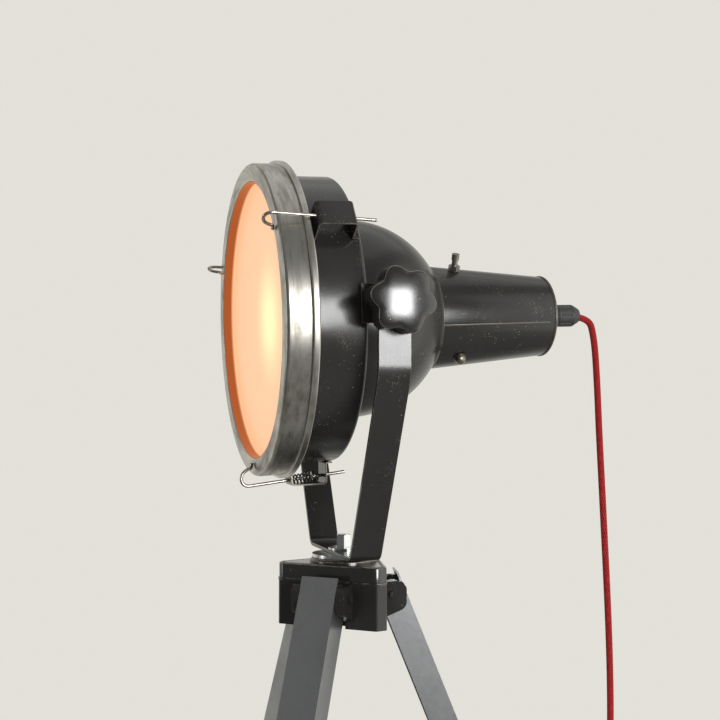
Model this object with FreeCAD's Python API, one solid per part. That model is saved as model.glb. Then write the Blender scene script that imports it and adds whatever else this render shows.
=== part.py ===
"""Tripod spotlight: a steel spot head in a flat-bar yoke, on a folding three-legged stand.

Millimetres, +Z up. The origin is on the floor under the pan axis. +X runs along the tilt
axis to the right-hand knob, and the head shines towards -Y. The head is drawn level about
its own axis, which lies along Y through (0, 0, 0), and is then set on the tilt pivot.
"""
import FreeCAD, Part
import math
import os

V = FreeCAD.Vector
os.makedirs("parts", exist_ok=True)

# ---------------------------------------------------------------- driving dimensions
PIVOT_HEIGHT = 1400.0        # tilt axis above the floor
AXIS_DROP = 5.0              # lamp axis below the tilt axis
REST_TILT = 2.0              # degrees that the front hangs below level
SHEET = 1.2                  # thickness of the spun steel
SLIP = 0.2                   # gap between two turned pieces that telescope
TOUCH_GAP = 0.3              # gap at rest between pieces that move apart
RUNNING = 0.05               # radial clearance of a shaft in its hole

BEZEL_RADIUS = 150.3
BEZEL_FRONT = -95.5
BEZEL_BEAD_RADIUS = 153.3
BEZEL_BEAD_FRONT = -72.5
BEZEL_BEAD_BACK = -66.0
BEZEL_CORNER = 3.5
LENS_OPENING = 133.2
LIP_DEPTH = 8.5
GLASS_THICKNESS = 4.0
GASKET_THICKNESS = 2.0
GLASS_OVERLAP = 4.0

DRUM_RADIUS = 139.0
DRUM_BACK = -18.0
DRUM_SHOULDER = 4.0
DRUM_CREASE = -55.0
CREASE_DEPTH = 1.0
FLANGE_RADIUS = 148.0

DOME_RADIUS = 97.5
DOME_CENTRE = 2.0
NECK_LENGTH = 34.0

CONE_FRONT = 86.0
CONE_FRONT_RADIUS = 52.0
CONE_BACK = 211.0
CONE_BACK_RADIUS = 41.0
SEAM_WIDTH = 9.0
SEAM_ANGLE = -3.0
CAP_RISE = 7.0
CAP_BOSS_RADIUS = 17.0
CAP_BOSS_BACK = 222.0

CLAMP_SCREW_PLACE = 110.0
CLAMP_SCREW_ANGLES = (65.0, -55.0, 185.0)
CLAMP_SCREW_REACH = (17.0, 6.0, 6.0)
CLAMP_SCREW_RADIUS = 3.0

CORD_RADIUS = 3.5
GLAND_FLATS = 22.0
GLAND_BODY_LENGTH = 9.0
GLAND_NUT_RADIUS = 11.5
GLAND_NUT_LENGTH = 26.0
GLAND_THREAD_RADIUS = 8.0
GLAND_WALL = 2.2

CLIP_ANGLES = (32.0, 155.0, 270.0)
CLIP_WIRE_RADIUS = 1.6
CLIP_WIRE_BACK = (-5.0, 150.5)
CLIP_WIRE_FRONT = (-104.0, 160.0)
CLIP_TIP_RADIUS = 140.0
CLIP_TIP_WIDTH = 12.0
BRACKET_FRONT = -62.0
BRACKET_BACK = -26.0
BRACKET_WIDTH = 30.0
BRACKET_TOP_RADIUS = 166.0
BRACKET_SHEET = 1.6
BRACKET_FOOT = 13.0
SPRING_WIRE_RADIUS = 0.8
SPRING_RADIUS = 4.6
SPRING_LENGTH = 22.0
SPRING_CURLS = 5
CLIP_COLLAR_RADIUS = 5.2
CLIP_COLLAR_LENGTH = 3.0

LUG_HEIGHT = 35.0
LUG_FRONT = -38.0
LUG_BACK = 17.5
LUG_SHEET = 3.0
STUD_RADIUS = 4.0
SPACER_RADIUS = 12.0

ARM_WIDTH = 30.0
ARM_THICKNESS = 3.5
ARM_SPREAD = 155.0
ARM_BEND_DROP = 64.0
YOKE_BASE_HALF = 70.0
YOKE_DROP = 235.0
ARM_BEND_RADIUS = 16.0
BASE_BEND_RADIUS = 10.0

KNOB_RADIUS = 28.5
KNOB_LOBES = 6
KNOB_WAIST = 23.0
KNOB_THICKNESS = 23.0
KNOB_STANDOFF = 5.0
KNOB_BORE_DEPTH = 16.0
KNOB_TURN = -12.0

BOLT_RADIUS = 4.0
NUT_FLATS = 13.0
NUT_HEIGHT = 13.0
WASHER_UPPER_RADIUS = 15.0
WASHER_UPPER_THICKNESS = 1.8
WASHER_LOWER_RADIUS = 31.0
WASHER_LOWER_THICKNESS = 3.0
HUB_BOSS_RADIUS = 33.0
HUB_BOSS_HEIGHT = 5.0
HUB_CORNER_REACH = 65.0
HUB_SIDE_REACH = 38.5
HUB_COVER_HEIGHT = 17.0
HUB_BODY_HEIGHT = 42.0
HUB_INSET = 1.5
HUB_CORE_REACH = 23.0
HUB_ANGLE = 18.0
LUG_PLATE = 8.0

LEG_COUNT = 3
LEG_FIRST_ANGLE = -42.0
LEG_SPLAY = 22.0
LEG_PIN_REACH = 46.0
LEG_PIN_DROP = 29.0
LEG_PIN_RADIUS = 4.0
LEG_WIDTH = 38.0
LEG_DEPTH = 26.0
LEG_SHEET = 2.0
LEG_TOP = 16.0
LEG_UPPER_LENGTH = 640.0
LEG_OVERLAP = 80.0
LEG_SIDE_GAP = 0.4
LEG_TUBE_WALL = 1.6
CLAMP_HEIGHT = 42.0
CLAMP_WALL = 4.5
CLAMP_KNOB_RADIUS = 12.0
CLAMP_KNOB_LENGTH = 17.0
FOOT_WALL = 4.0
FOOT_GRIP = 46.0
FOOT_SOLE = 14.0

BULB_RADIUS = 30.0
BULB_CENTRE = -26.0
BULB_CAP_RADIUS = 13.2
HOLDER_RADIUS = 20.0
HOLDER_FRONT = 22.0
HOLDER_LENGTH = 40.0
REFLECTOR_VERTEX = 20.0
REFLECTOR_HOLE = 24.0

# The cord's route, in world millimetres: a hanging stretch, then the floor, then the coil.
CORD_UPPER_POINTS = [(0, 236, 1403.24), (0, 269.5, 1404.41), (0, 276.5, 1381), (0, 279.5, 1336),
                     (0, 281.5, 1282), (0, 284.5, 1222), (0, 288, 1150)]
CORD_MIDDLE_POINTS = [(0, 288, 1150), (0, 291.4, 1080), (2, 292, 985), (0, 290, 888), (-3, 292, 790),
                      (-1, 290, 690), (2, 291.5, 590), (0, 290, 490), (-2, 292, 392), (0, 290.5, 300),
                      (1, 289, 215), (0, 290, 140)]
CORD_LOWER_POINTS = [(0, 290, 140), (-0.7, 290.7, 87.5), (0, 292, 46.5), (-1, 306, 22.3), (-4, 338, 4.2),
                     (-14, 389, 4.2), (-48, 424, 4.2), (-100, 437, 4.2), (-146, 437, 4.2)]
COIL_OUTER = 46.0
COIL_STEP = 4.0
COIL_HALF_TURNS = 5
COIL_RISE = 8.0
CORD_END_POINTS = [(-104, 337, 12.2), (-72, 318, 15.5), (-58, 280, 19.0)]
PLUG_RADIUS = 18.5
PLUG_LENGTH = 38.0
PLUG_SLEEVE = 16.0
PIN_RADIUS = 2.4
PIN_LENGTH = 19.0
PIN_SPACING = 19.0

# ---------------------------------------------------------------- derived places
ARM_INNER = ARM_SPREAD - ARM_THICKNESS / 2
ARM_OUTER = ARM_SPREAD + ARM_THICKNESS / 2
LUG_INNER = DRUM_RADIUS + 0.3
LUG_OUTER = LUG_INNER + LUG_SHEET
LENS_BACK = BEZEL_FRONT + LIP_DEPTH
GLASS_FRONT = LENS_BACK + GASKET_THICKNESS
GLASS_BACK = GLASS_FRONT + GLASS_THICKNESS
GLASS_RADIUS = LENS_OPENING + GLASS_OVERLAP
FLANGE_FRONT = (BEZEL_BEAD_FRONT + BEZEL_BEAD_BACK) / 2
CONE_TAPER = (CONE_FRONT_RADIUS - CONE_BACK_RADIUS) / (CONE_BACK - CONE_FRONT)
YOKE_BASE = PIVOT_HEIGHT - YOKE_DROP
YOKE_TOP_FACE = YOKE_BASE + ARM_THICKNESS
HUB_TOP = YOKE_BASE - 2 * RUNNING - WASHER_LOWER_THICKNESS - HUB_BOSS_HEIGHT
COVER_BOTTOM = HUB_TOP - HUB_COVER_HEIGHT
HUB_BOTTOM = COVER_BOTTOM - HUB_BODY_HEIGHT
PIN_HEIGHT = HUB_TOP - LEG_PIN_DROP
LEG_REACH = PIN_HEIGHT / math.cos(math.radians(LEG_SPLAY))
TUBE_WIDTH = LEG_WIDTH - 2 * LEG_SHEET - 2 * LEG_SIDE_GAP
TUBE_DEPTH = LEG_DEPTH - LEG_SHEET - 6.0
TUBE_OFFSET = (LEG_DEPTH / 2 - LEG_SHEET - LEG_SIDE_GAP) - TUBE_DEPTH / 2

nodes = {}


# ---------------------------------------------------------------- helpers
def unit(vector):
    copy = V(vector)
    copy.normalize()
    return copy


def corner_edges(points, radii, closed=True):
    """Straight edges through the points, with a tangent arc at each corner that has a radius."""
    count = len(points)
    starts, ends, arcs = [None] * count, [None] * count, [None] * count
    for i, corner in enumerate(points):
        radius = radii[i]
        if radius <= 0 or (not closed and i in (0, count - 1)):
            starts[i] = ends[i] = corner
            continue
        back = unit(points[i - 1] - corner)
        ahead = unit(points[(i + 1) % count] - corner)
        half = math.acos(max(-1, min(1, back.dot(ahead)))) / 2
        run = radius / math.tan(half)
        bisector = unit(back + ahead)
        centre = corner + bisector * (radius / math.sin(half))
        starts[i] = corner + back * run
        ends[i] = corner + ahead * run
        arcs[i] = Part.Arc(starts[i], centre - bisector * radius, ends[i]).toShape()
    edges = []
    for i in range(count):
        if arcs[i]:
            edges.append(arcs[i])
        if i == count - 1 and not closed:
            break
        after = starts[(i + 1) % count]
        if (after - ends[i]).Length > 1e-6:
            edges.append(Part.LineSegment(ends[i], after).toShape())
    return edges


def face_of(points, radii=None):
    radii = radii or [0] * len(points)
    return Part.Face(Part.Wire(corner_edges(points, radii)))


def lathe(profile):
    """Turn a profile about the head's axis. Each corner is (place along Y, radius[, rounding])."""
    points = [V(corner[1], corner[0], 0) for corner in profile]
    radii = [corner[2] if len(corner) > 2 else 0 for corner in profile]
    return face_of(points, radii).revolve(V(0, 0, 0), V(0, 1, 0), 360)


def sheet_profile(path, thickness, side=1):
    """Close a path of (place, radius[, rounding]) into a wall, offset by its thickness to one side."""
    points = [V(corner[0], corner[1], 0) for corner in path]
    rounds = [corner[2] if len(corner) > 2 else 0 for corner in path]
    inner = []
    for i, point in enumerate(points):
        before = unit(point - points[i - 1]) if i else unit(points[1] - point)
        after = unit(points[i + 1] - point) if i < len(points) - 1 else before
        normal_before = V(-before.y, before.x, 0)
        normal_after = V(-after.y, after.x, 0)
        mitre = unit(normal_before + normal_after)
        reach = thickness / mitre.dot(normal_after)
        turn = before.x * after.y - before.y * after.x
        inner_round = rounds[i] + thickness * (-1 if turn * side > 0 else 1) if rounds[i] else 0
        offset = point + mitre * (side * reach)
        inner.append((offset.x, offset.y, max(inner_round, 0)))
    return [tuple(corner) for corner in path] + inner[::-1]


def tube_x(outer, inner, start, end, y=0.0, z=0.0):
    tube = Part.makeCylinder(outer, end - start, V(start, y, z), V(1, 0, 0))
    if inner:
        tube = tube.cut(Part.makeCylinder(inner, end - start, V(start, y, z), V(1, 0, 0)))
    return tube


def tube_y(outer, inner, start, end):
    tube = Part.makeCylinder(outer, end - start, V(0, start, 0), V(0, 1, 0))
    if inner:
        tube = tube.cut(Part.makeCylinder(inner, end - start, V(0, start, 0), V(0, 1, 0)))
    return tube


def disc(radius, bottom, height, bore=0.0):
    plate = Part.makeCylinder(radius, height, V(0, 0, bottom))
    if bore:
        plate = plate.cut(Part.makeCylinder(bore, height, V(0, 0, bottom)))
    return plate


def hexagon(flats, centre, axis, across):
    """A flat hexagonal face, `flats` across, square to the axis."""
    reach = flats / math.sqrt(3)
    side = unit(across)
    other = unit(V(axis).cross(side))
    corners = []
    for i in range(6):
        turn = math.radians(60 * i + 30)
        corners.append(centre + side * (reach * math.cos(turn)) + other * (reach * math.sin(turn)))
    return face_of(corners)


def block(x0, x1, y0, y1, z0, z1):
    return Part.makeBox(x1 - x0, y1 - y0, z1 - z0, V(x0, y0, z0))


def around_axis(shape, angle):
    """Swing a piece drawn above the head's axis (+Z) to an angle from +X towards +Z."""
    turned = shape.copy()
    turned.rotate(V(0, 0, 0), V(0, 1, 0), 90 - angle)
    return turned


def set_head(shape):
    """Move a piece from the head's own axis to its place on the tilt pivot."""
    placed = shape.copy()
    placed.translate(V(0, 0, PIVOT_HEIGHT - AXIS_DROP))
    placed.rotate(V(0, 0, PIVOT_HEIGHT), V(1, 0, 0), REST_TILT)
    return placed


def mirrored(shape):
    return shape.mirror(V(0, 0, 0), V(1, 0, 0))


def arc_through(start, tangent, end):
    """The circular arc that leaves start along tangent and arrives at end."""
    chord = end - start
    turn = 2 * math.acos(max(-1, min(1, unit(chord).dot(tangent))))
    if turn < 1e-5:
        return Part.LineSegment(start, end).toShape(), tangent
    sideways = unit(tangent - unit(chord) * unit(chord).dot(tangent))
    middle = (start + end) * 0.5 + sideways * (chord.Length / 2 * math.tan(turn / 4))
    arrival = unit(chord) * (2 * unit(chord).dot(tangent)) - tangent
    return Part.Arc(start, middle, end).toShape(), unit(arrival)


def biarc(start, leaving, end, arriving):
    """Two tangent arcs from one point and direction to another."""
    span = end - start
    both = leaving + arriving
    spread = 2 * (1 - leaving.dot(arriving))
    if spread < 1e-9:
        reach = span.dot(span) / (2 * span.dot(both))
    else:
        reach = (-span.dot(both) + math.sqrt(span.dot(both) ** 2 + spread * span.dot(span))) / spread
    joint = ((start + leaving * reach) + (end - arriving * reach)) * 0.5
    first, direction = arc_through(start, leaving, joint)
    second, _ = arc_through(joint, direction, end)
    return [first, second]


def tube_along(edges, radius):
    """A solid round tube along edges that join end to end."""
    wire = Part.Wire(edges)
    first = edges[0]
    start = first.Vertexes[0].Point
    direction = first.tangentAt(first.FirstParameter)
    circle = Part.Wire([Part.Circle(start, direction, radius).toShape()])
    shell = Part.BRepOffsetAPI.MakePipeShell(wire)
    shell.add(circle)
    shell.build()
    shell.makeSolid()
    solid = shell.shape()
    length = sum(edge.Length for edge in edges)
    error = solid.Volume / (math.pi * radius ** 2 * length) - 1
    print("  tube length %.1f, volume error %.4f, valid %s" % (length, error, solid.isValid()))
    return solid


def cord_edges(points, name):
    """Straight runs joined by arcs as large as the runs beside them allow."""
    route = [V(*point) for point in points]
    radii = [0.0] * len(route)
    for i in range(1, len(route) - 1):
        back = route[i - 1] - route[i]
        ahead = route[i + 1] - route[i]
        turn = math.pi - back.getAngle(ahead)
        radii[i] = 0.45 * min(back.Length, ahead.Length) / math.tan(turn / 2)
    print(name, "bend radii", [round(radius) for radius in radii[1:-1]])
    return corner_edges(route, radii, closed=False)


def least_gap(edges, radius, skip):
    """The least gap of a wound tube to its own other turns, from points along it."""
    points = []
    for edge in edges:
        steps = max(3, int(edge.Length / (radius * 1.5)))
        low, high = edge.ParameterRange
        for i in range(steps):
            points.append(edge.valueAt(low + (high - low) * i / steps))
    place = [0.0]
    for i in range(1, len(points)):
        place.append(place[-1] + (points[i] - points[i - 1]).Length)
    gap = 1e9
    for i in range(len(points)):
        for j in range(i + 1, len(points)):
            if place[j] - place[i] > skip:
                gap = min(gap, (points[i] - points[j]).Length - 2 * radius)
    return gap


# ---------------------------------------------------------------- head: lamp housing
def make_bezel():
    path = [(LENS_BACK, LENS_OPENING), (BEZEL_FRONT, LENS_OPENING, 1.5), (BEZEL_FRONT, BEZEL_RADIUS, BEZEL_CORNER),
            (BEZEL_BEAD_FRONT, BEZEL_RADIUS), (BEZEL_BEAD_FRONT, BEZEL_BEAD_RADIUS, 1.3),
            (BEZEL_BEAD_BACK, BEZEL_BEAD_RADIUS, 1.3), (BEZEL_BEAD_BACK, FLANGE_RADIUS - 2.5)]
    return lathe(sheet_profile(path, SHEET, -1))


def make_drum():
    crease = CREASE_DEPTH
    path = [(FLANGE_FRONT, FLANGE_RADIUS), (FLANGE_FRONT, DRUM_RADIUS, 1.5),
            (DRUM_CREASE - 2, DRUM_RADIUS), (DRUM_CREASE, DRUM_RADIUS - crease), (DRUM_CREASE + 2, DRUM_RADIUS),
            (DRUM_BACK, DRUM_RADIUS, DRUM_SHOULDER), (DRUM_BACK, DOME_RADIUS + SLIP)]
    return lathe(sheet_profile(path, SHEET, -1))


def make_dome():
    """A part sphere with a flange inside the drum's back wall and a neck inside the cone."""
    flange = DRUM_BACK - SHEET
    neck_radius = cone_radius(CONE_FRONT) - SHEET - SLIP
    neck_back = CONE_FRONT + NECK_LENGTH
    neck_end = cone_radius(neck_back) - SHEET - SLIP
    rest = math.sqrt(DOME_RADIUS ** 2 - neck_radius ** 2) + DOME_CENTRE
    inner = DOME_RADIUS - SHEET
    inner_rest = math.sqrt(inner ** 2 - (neck_radius - SHEET) ** 2) + DOME_CENTRE
    corner = [V(DOME_RADIUS + 8, flange, 0), V(DOME_RADIUS, flange, 0), V(DOME_RADIUS, DOME_CENTRE, 0)]
    inside = [V(DOME_RADIUS + 8, flange - SHEET, 0), V(inner, flange - SHEET, 0), V(inner, DOME_CENTRE, 0)]

    def ball(radius, end_place, end_radius):
        angle = math.atan2(end_place - DOME_CENTRE, end_radius) / 2
        middle = V(radius * math.cos(angle), DOME_CENTRE + radius * math.sin(angle), 0)
        return Part.Arc(V(radius, DOME_CENTRE, 0), middle, V(end_radius, end_place, 0)).toShape()

    outer_end = V(neck_radius, rest, 0)
    inner_end = V(neck_radius - SHEET, inner_rest, 0)
    back_outer = V(neck_end, neck_back, 0)
    back_inner = V(neck_end - SHEET, neck_back, 0)
    edges = [Part.makeLine(corner[0], corner[1]), Part.makeLine(corner[1], corner[2]),
             ball(DOME_RADIUS, rest, neck_radius), Part.makeLine(outer_end, back_outer),
             Part.makeLine(back_outer, back_inner), Part.makeLine(back_inner, inner_end),
             ball(inner, inner_rest, neck_radius - SHEET), Part.makeLine(inside[2], inside[1]),
             Part.makeLine(inside[1], inside[0]), Part.makeLine(inside[0], corner[0])]
    dome = Part.Face(Part.Wire(Part.__sortEdges__(edges))).revolve(V(0, 0, 0), V(0, 1, 0), 360)
    for angle in CLAMP_SCREW_ANGLES:
        dome = dome.cut(clamp_screw_hole(RUNNING, angle))
    return dome


def clamp_screw_hole(clearance, angle):
    hole = Part.makeCylinder(CLAMP_SCREW_RADIUS + clearance, 60, V(0, CLAMP_SCREW_PLACE, 20), V(0, 0, 1))
    return around_axis(hole, angle)


def cone_radius(place):
    return CONE_FRONT_RADIUS - CONE_TAPER * (place - CONE_FRONT)


def make_cone():
    """A rolled cone with a folded front edge and one lapped seam along its side."""
    path = [(CONE_FRONT, CONE_FRONT_RADIUS), (CONE_BACK, CONE_BACK_RADIUS)]
    cone = lathe(sheet_profile(path, SHEET, -1))
    lap = lathe(sheet_profile([(CONE_FRONT, CONE_FRONT_RADIUS + 0.9), (CONE_BACK - 6, cone_radius(CONE_BACK - 6) + 0.9)],
                              1.0, -1))
    strip = around_axis(block(-SEAM_WIDTH / 2, SEAM_WIDTH / 2, CONE_FRONT - 1, CONE_BACK, 20, 70), SEAM_ANGLE)
    cone = cone.fuse(lap.common(strip))
    for angle in CLAMP_SCREW_ANGLES:
        cone = cone.cut(clamp_screw_hole(SLIP, angle))
    return cone.removeSplitter()


def make_cone_cap():
    skirt = CONE_BACK_RADIUS - SHEET - SLIP / 2
    profile = [(CONE_BACK - 8, skirt + 0.02), (CONE_BACK, skirt + 0.02), (CONE_BACK, CONE_BACK_RADIUS + 0.8, 0.5),
               (CONE_BACK + 2.2, CONE_BACK_RADIUS + 0.8, 1.0), (CONE_BACK + CAP_RISE, CAP_BOSS_RADIUS + 6, 4),
               (CONE_BACK + CAP_RISE, CAP_BOSS_RADIUS, 1.5), (CAP_BOSS_BACK, CAP_BOSS_RADIUS - 1.5, 1),
               (CAP_BOSS_BACK, GLAND_THREAD_RADIUS + SLIP / 2), (CAP_BOSS_BACK - 5, GLAND_THREAD_RADIUS + SLIP / 2),
               (CONE_BACK + 2, skirt - 6, 3), (CONE_BACK - 8, skirt - 2)]
    return lathe(profile)


def make_clamp_screw(number):
    """A screw through the cone into the dome's neck. The first is a long stud with a nut on it."""
    seat = cone_radius(CLAMP_SCREW_PLACE)
    bottom = seat - SHEET - SLIP - SHEET
    reach = CLAMP_SCREW_REACH[number]
    place = CLAMP_SCREW_PLACE
    shank = Part.makeCylinder(CLAMP_SCREW_RADIUS, reach + seat - bottom, V(0, place, bottom + 0.4), V(0, 0, 1))
    if number == 0:
        nut = hexagon(10.0, V(0, place, seat + 0.9), V(0, 0, 1), V(0, 1, 0)).extrude(V(0, 0, 5.0))
        collar = Part.makeCylinder(CLAMP_SCREW_RADIUS + 0.8, 6.0, V(0, place, seat + reach - 5.0), V(0, 0, 1))
        screw = shank.fuse([nut, collar])
    else:
        washer = Part.makeCylinder(6.5, 1.3, V(0, place, seat + 0.65), V(0, 0, 1))
        head = Part.makeSphere(5.6, V(0, place, seat + 2.6)).common(
            Part.makeCylinder(6, 6, V(0, place, seat + 1.8), V(0, 0, 1)))
        screw = shank.fuse([washer, head])
    return around_axis(screw.removeSplitter(), CLAMP_SCREW_ANGLES[number])


# ---------------------------------------------------------------- head: light source
def make_lens():
    return lathe([(GLASS_FRONT, 0), (GLASS_FRONT, GLASS_RADIUS, 0.5), (GLASS_BACK, GLASS_RADIUS, 0.5), (GLASS_BACK, 0)])


def make_gasket():
    return lathe([(LENS_BACK, LENS_OPENING - 0.6), (LENS_BACK, GLASS_RADIUS), (GLASS_FRONT, GLASS_RADIUS),
                  (GLASS_FRONT, LENS_OPENING - 0.6)])


def make_retainer():
    """A folded ring that holds the glass against the bezel's lip and stands on the drum's flange."""
    front = GLASS_BACK
    back = FLANGE_FRONT - 2 * SHEET
    path = [(front, LENS_OPENING - 1), (front, GLASS_RADIUS + 3, 1.5), (back, GLASS_RADIUS + 3, 1.5),
            (back, FLANGE_RADIUS - 1)]
    return lathe(sheet_profile(path, SHEET, -1))


def make_reflector():
    """A parabolic dish with a rolled front edge and a hole for the lampholder."""
    rim = LENS_OPENING - 3
    front = GLASS_BACK + SHEET + 0.3
    depth = REFLECTOR_VERTEX - front
    curve = rim ** 2 / depth

    def place(radius):
        return REFLECTOR_VERTEX - radius ** 2 / curve

    outside = []
    steps = 8
    for i in range(steps + 1):
        radius = REFLECTOR_HOLE + (rim - REFLECTOR_HOLE) * i / steps
        outside.append(V(radius, place(radius), 0))
    outer = Part.BSplineCurve()
    outer.interpolate(outside)
    inner = Part.BSplineCurve()
    inner.interpolate([V(point.x + 0.9, point.y + 0.7, 0) for point in outside])
    first, last = outside[0], outside[-1]
    shift = V(0.9, 0.7, 0)
    edges = [outer.toShape(), Part.makeLine(last, last + shift), inner.toShape(), Part.makeLine(first, first + shift)]
    dish = Part.Face(Part.Wire(Part.__sortEdges__(edges))).revolve(V(0, 0, 0), V(0, 1, 0), 360)
    rim_ring = lathe([(front, rim - 0.2), (front, GLASS_RADIUS + 1.6), (front + 1, GLASS_RADIUS + 1.6),
                      (front + 1, rim - 0.2)])
    return dish.fuse(rim_ring).removeSplitter()


def make_bulb_globe():
    globe = Part.makeSphere(BULB_RADIUS, V(0, BULB_CENTRE, 0))
    neck = Part.makeCone(BULB_RADIUS * 0.75, BULB_CAP_RADIUS - 0.7, 22, V(0, BULB_CENTRE + 18, 0), V(0, 1, 0))
    stem = tube_y(BULB_CAP_RADIUS - 0.7, 0, BULB_CENTRE + 40, HOLDER_FRONT + 2)
    return globe.fuse([neck, stem]).removeSplitter()


def make_bulb_cap():
    back = HOLDER_FRONT + 2
    return lathe([(back, 0), (back, BULB_CAP_RADIUS), (back + 22, BULB_CAP_RADIUS, 3), (back + 26, 6), (back + 26, 0)])


def make_lampholder():
    back = HOLDER_FRONT + HOLDER_LENGTH
    bore = BULB_CAP_RADIUS + SLIP
    return lathe([(HOLDER_FRONT, bore), (HOLDER_FRONT, HOLDER_RADIUS, 2), (back - 12, HOLDER_RADIUS, 2),
                  (back - 9, HOLDER_RADIUS - 5, 1), (back, HOLDER_RADIUS - 5), (back, 0), (back - 10, 0),
                  (back - 10, bore)])


def make_holder_bracket():
    """A vented disc across the dome that carries the lampholder, with a tongue for the terminals."""
    front = HOLDER_FRONT + HOLDER_LENGTH
    rim = math.sqrt((DOME_RADIUS - SHEET) ** 2 - (front + 1.5 - DOME_CENTRE) ** 2) - SLIP / 2
    plate = tube_y(rim, 0, front, front + 1.5)
    for i in range(6):
        turn = math.radians(60 * i + 30)
        vent = Part.makeCylinder(8, 4, V(42 * math.cos(turn), front - 1, 42 * math.sin(turn)), V(0, 1, 0))
        plate = plate.cut(vent)
    tongue = block(-11, 11, front + 1, front + 66, -18, -16.5)
    return plate.fuse(tongue).removeSplitter()


def make_terminals():
    front = HOLDER_FRONT + HOLDER_LENGTH + 30
    body = block(-14, 14, front, front + 24, -16.5, -2)
    for x in (-9, 0, 9):
        body = body.cut(Part.makeCylinder(2.2, 6, V(x, front + 7, -7)))
        body = body.cut(Part.makeCylinder(2.2, 6, V(x, front + 17, -7)))
    return body


# ---------------------------------------------------------------- head: cable gland
def make_gland_body():
    start = CAP_BOSS_BACK
    flange = hexagon(GLAND_FLATS, V(0, start, 0), V(0, 1, 0), V(0, 0, 1)).extrude(V(0, GLAND_BODY_LENGTH, 0))
    inner = tube_y(GLAND_THREAD_RADIUS, 0, start - 12, start)
    outer = tube_y(GLAND_THREAD_RADIUS, 0, start + GLAND_BODY_LENGTH, start + GLAND_BODY_LENGTH + 12)
    bore = tube_y(GLAND_THREAD_RADIUS - GLAND_WALL, 0, start - 13, start + GLAND_BODY_LENGTH + 13)
    return flange.fuse([inner, outer]).cut(bore).removeSplitter()


def make_gland_nut():
    """A clamping nut with shallow grips round a rounded nose."""
    front = CAP_BOSS_BACK + GLAND_BODY_LENGTH
    back = front + GLAND_NUT_LENGTH
    nut = lathe([(front, GLAND_THREAD_RADIUS + RUNNING), (front, GLAND_NUT_RADIUS, 0.8),
                 (back - 8, GLAND_NUT_RADIUS, 4), (back, GLAND_NUT_RADIUS - 4.5, 3), (back, CORD_RADIUS + 0.6, 0.4),
                 (back - 4, CORD_RADIUS + 0.6), (back - 12, GLAND_THREAD_RADIUS + RUNNING)])
    for i in range(8):
        turn = math.radians(45 * i)
        groove = Part.makeCylinder(1.3, 13, V((GLAND_NUT_RADIUS + 0.6) * math.cos(turn), front + 2,
                                              (GLAND_NUT_RADIUS + 0.6) * math.sin(turn)), V(0, 1, 0))
        nut = nut.cut(groove)
    return nut


def make_gland_seal():
    front = CAP_BOSS_BACK + GLAND_BODY_LENGTH
    back = front + GLAND_NUT_LENGTH
    return lathe([(front + 2, CORD_RADIUS + 0.1), (front + 2, GLAND_THREAD_RADIUS - GLAND_WALL - 0.02),
                  (front + 12.5, GLAND_THREAD_RADIUS - GLAND_WALL - 0.02), (back - 6.5, CORD_RADIUS + 1.0),
                  (back - 6.5, CORD_RADIUS + 0.1)])


# ---------------------------------------------------------------- head: bezel clips
def clip_direction():
    front = V(0, CLIP_WIRE_FRONT[0], CLIP_WIRE_FRONT[1])
    back = V(0, CLIP_WIRE_BACK[0], CLIP_WIRE_BACK[1])
    return unit(front - back)


def wire_height(place):
    slope = (CLIP_WIRE_FRONT[1] - CLIP_WIRE_BACK[1]) / (CLIP_WIRE_FRONT[0] - CLIP_WIRE_BACK[0])
    return CLIP_WIRE_BACK[1] + slope * (place - CLIP_WIRE_BACK[0])


def make_clip_bracket(number):
    """A folded sheet bridge on the drum: two bored walls, a roof, and a foot with a rivet behind."""
    half = BRACKET_WIDTH / 2
    base = math.sqrt(DRUM_RADIUS ** 2 - half ** 2)
    outline = [V(0, BRACKET_FRONT, base - 1), V(0, BRACKET_FRONT, BRACKET_TOP_RADIUS),
               V(0, BRACKET_BACK, BRACKET_TOP_RADIUS), V(0, BRACKET_BACK, base - 1)]
    inner = [V(0, BRACKET_BACK - BRACKET_SHEET, base - 1), V(0, BRACKET_BACK - BRACKET_SHEET, BRACKET_TOP_RADIUS - BRACKET_SHEET),
             V(0, BRACKET_FRONT + BRACKET_SHEET, BRACKET_TOP_RADIUS - BRACKET_SHEET), V(0, BRACKET_FRONT + BRACKET_SHEET, base - 1)]
    bridge = face_of(outline + inner, [0, 4, 4, 0, 0, 2.4, 2.4, 0]).extrude(V(BRACKET_WIDTH, 0, 0))
    bridge.translate(V(-half, 0, 0))
    foot_end = BRACKET_BACK + BRACKET_FOOT
    foot_half = 8.0
    foot_outline = [V(-foot_half, BRACKET_BACK - BRACKET_SHEET, 0), V(foot_half, BRACKET_BACK - BRACKET_SHEET, 0),
                    V(foot_half, foot_end, 0), V(-foot_half, foot_end, 0)]
    foot = face_of(foot_outline, [0, 0, 6, 6]).extrude(V(0, 0, 60))
    foot.translate(V(0, 0, DRUM_RADIUS - 30))
    foot = foot.common(tube_y(DRUM_RADIUS + BRACKET_SHEET, 0, BRACKET_FRONT, DRUM_BACK - DRUM_SHOULDER))
    rivet = Part.makeSphere(3.2, V(0, (BRACKET_BACK + DRUM_BACK - DRUM_SHOULDER) / 2, DRUM_RADIUS + BRACKET_SHEET - 1.0))
    bracket = bridge.fuse([foot, rivet]).cut(tube_y(DRUM_RADIUS, 0, BRACKET_FRONT - 1, BRACKET_BACK + 20))
    bore = Part.makeCylinder(CLIP_WIRE_RADIUS + 0.35, 80, V(0, BRACKET_BACK + 20, wire_height(BRACKET_BACK + 20)),
                             clip_direction())
    return around_axis(bracket.cut(bore).removeSplitter(), CLIP_ANGLES[number])


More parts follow.
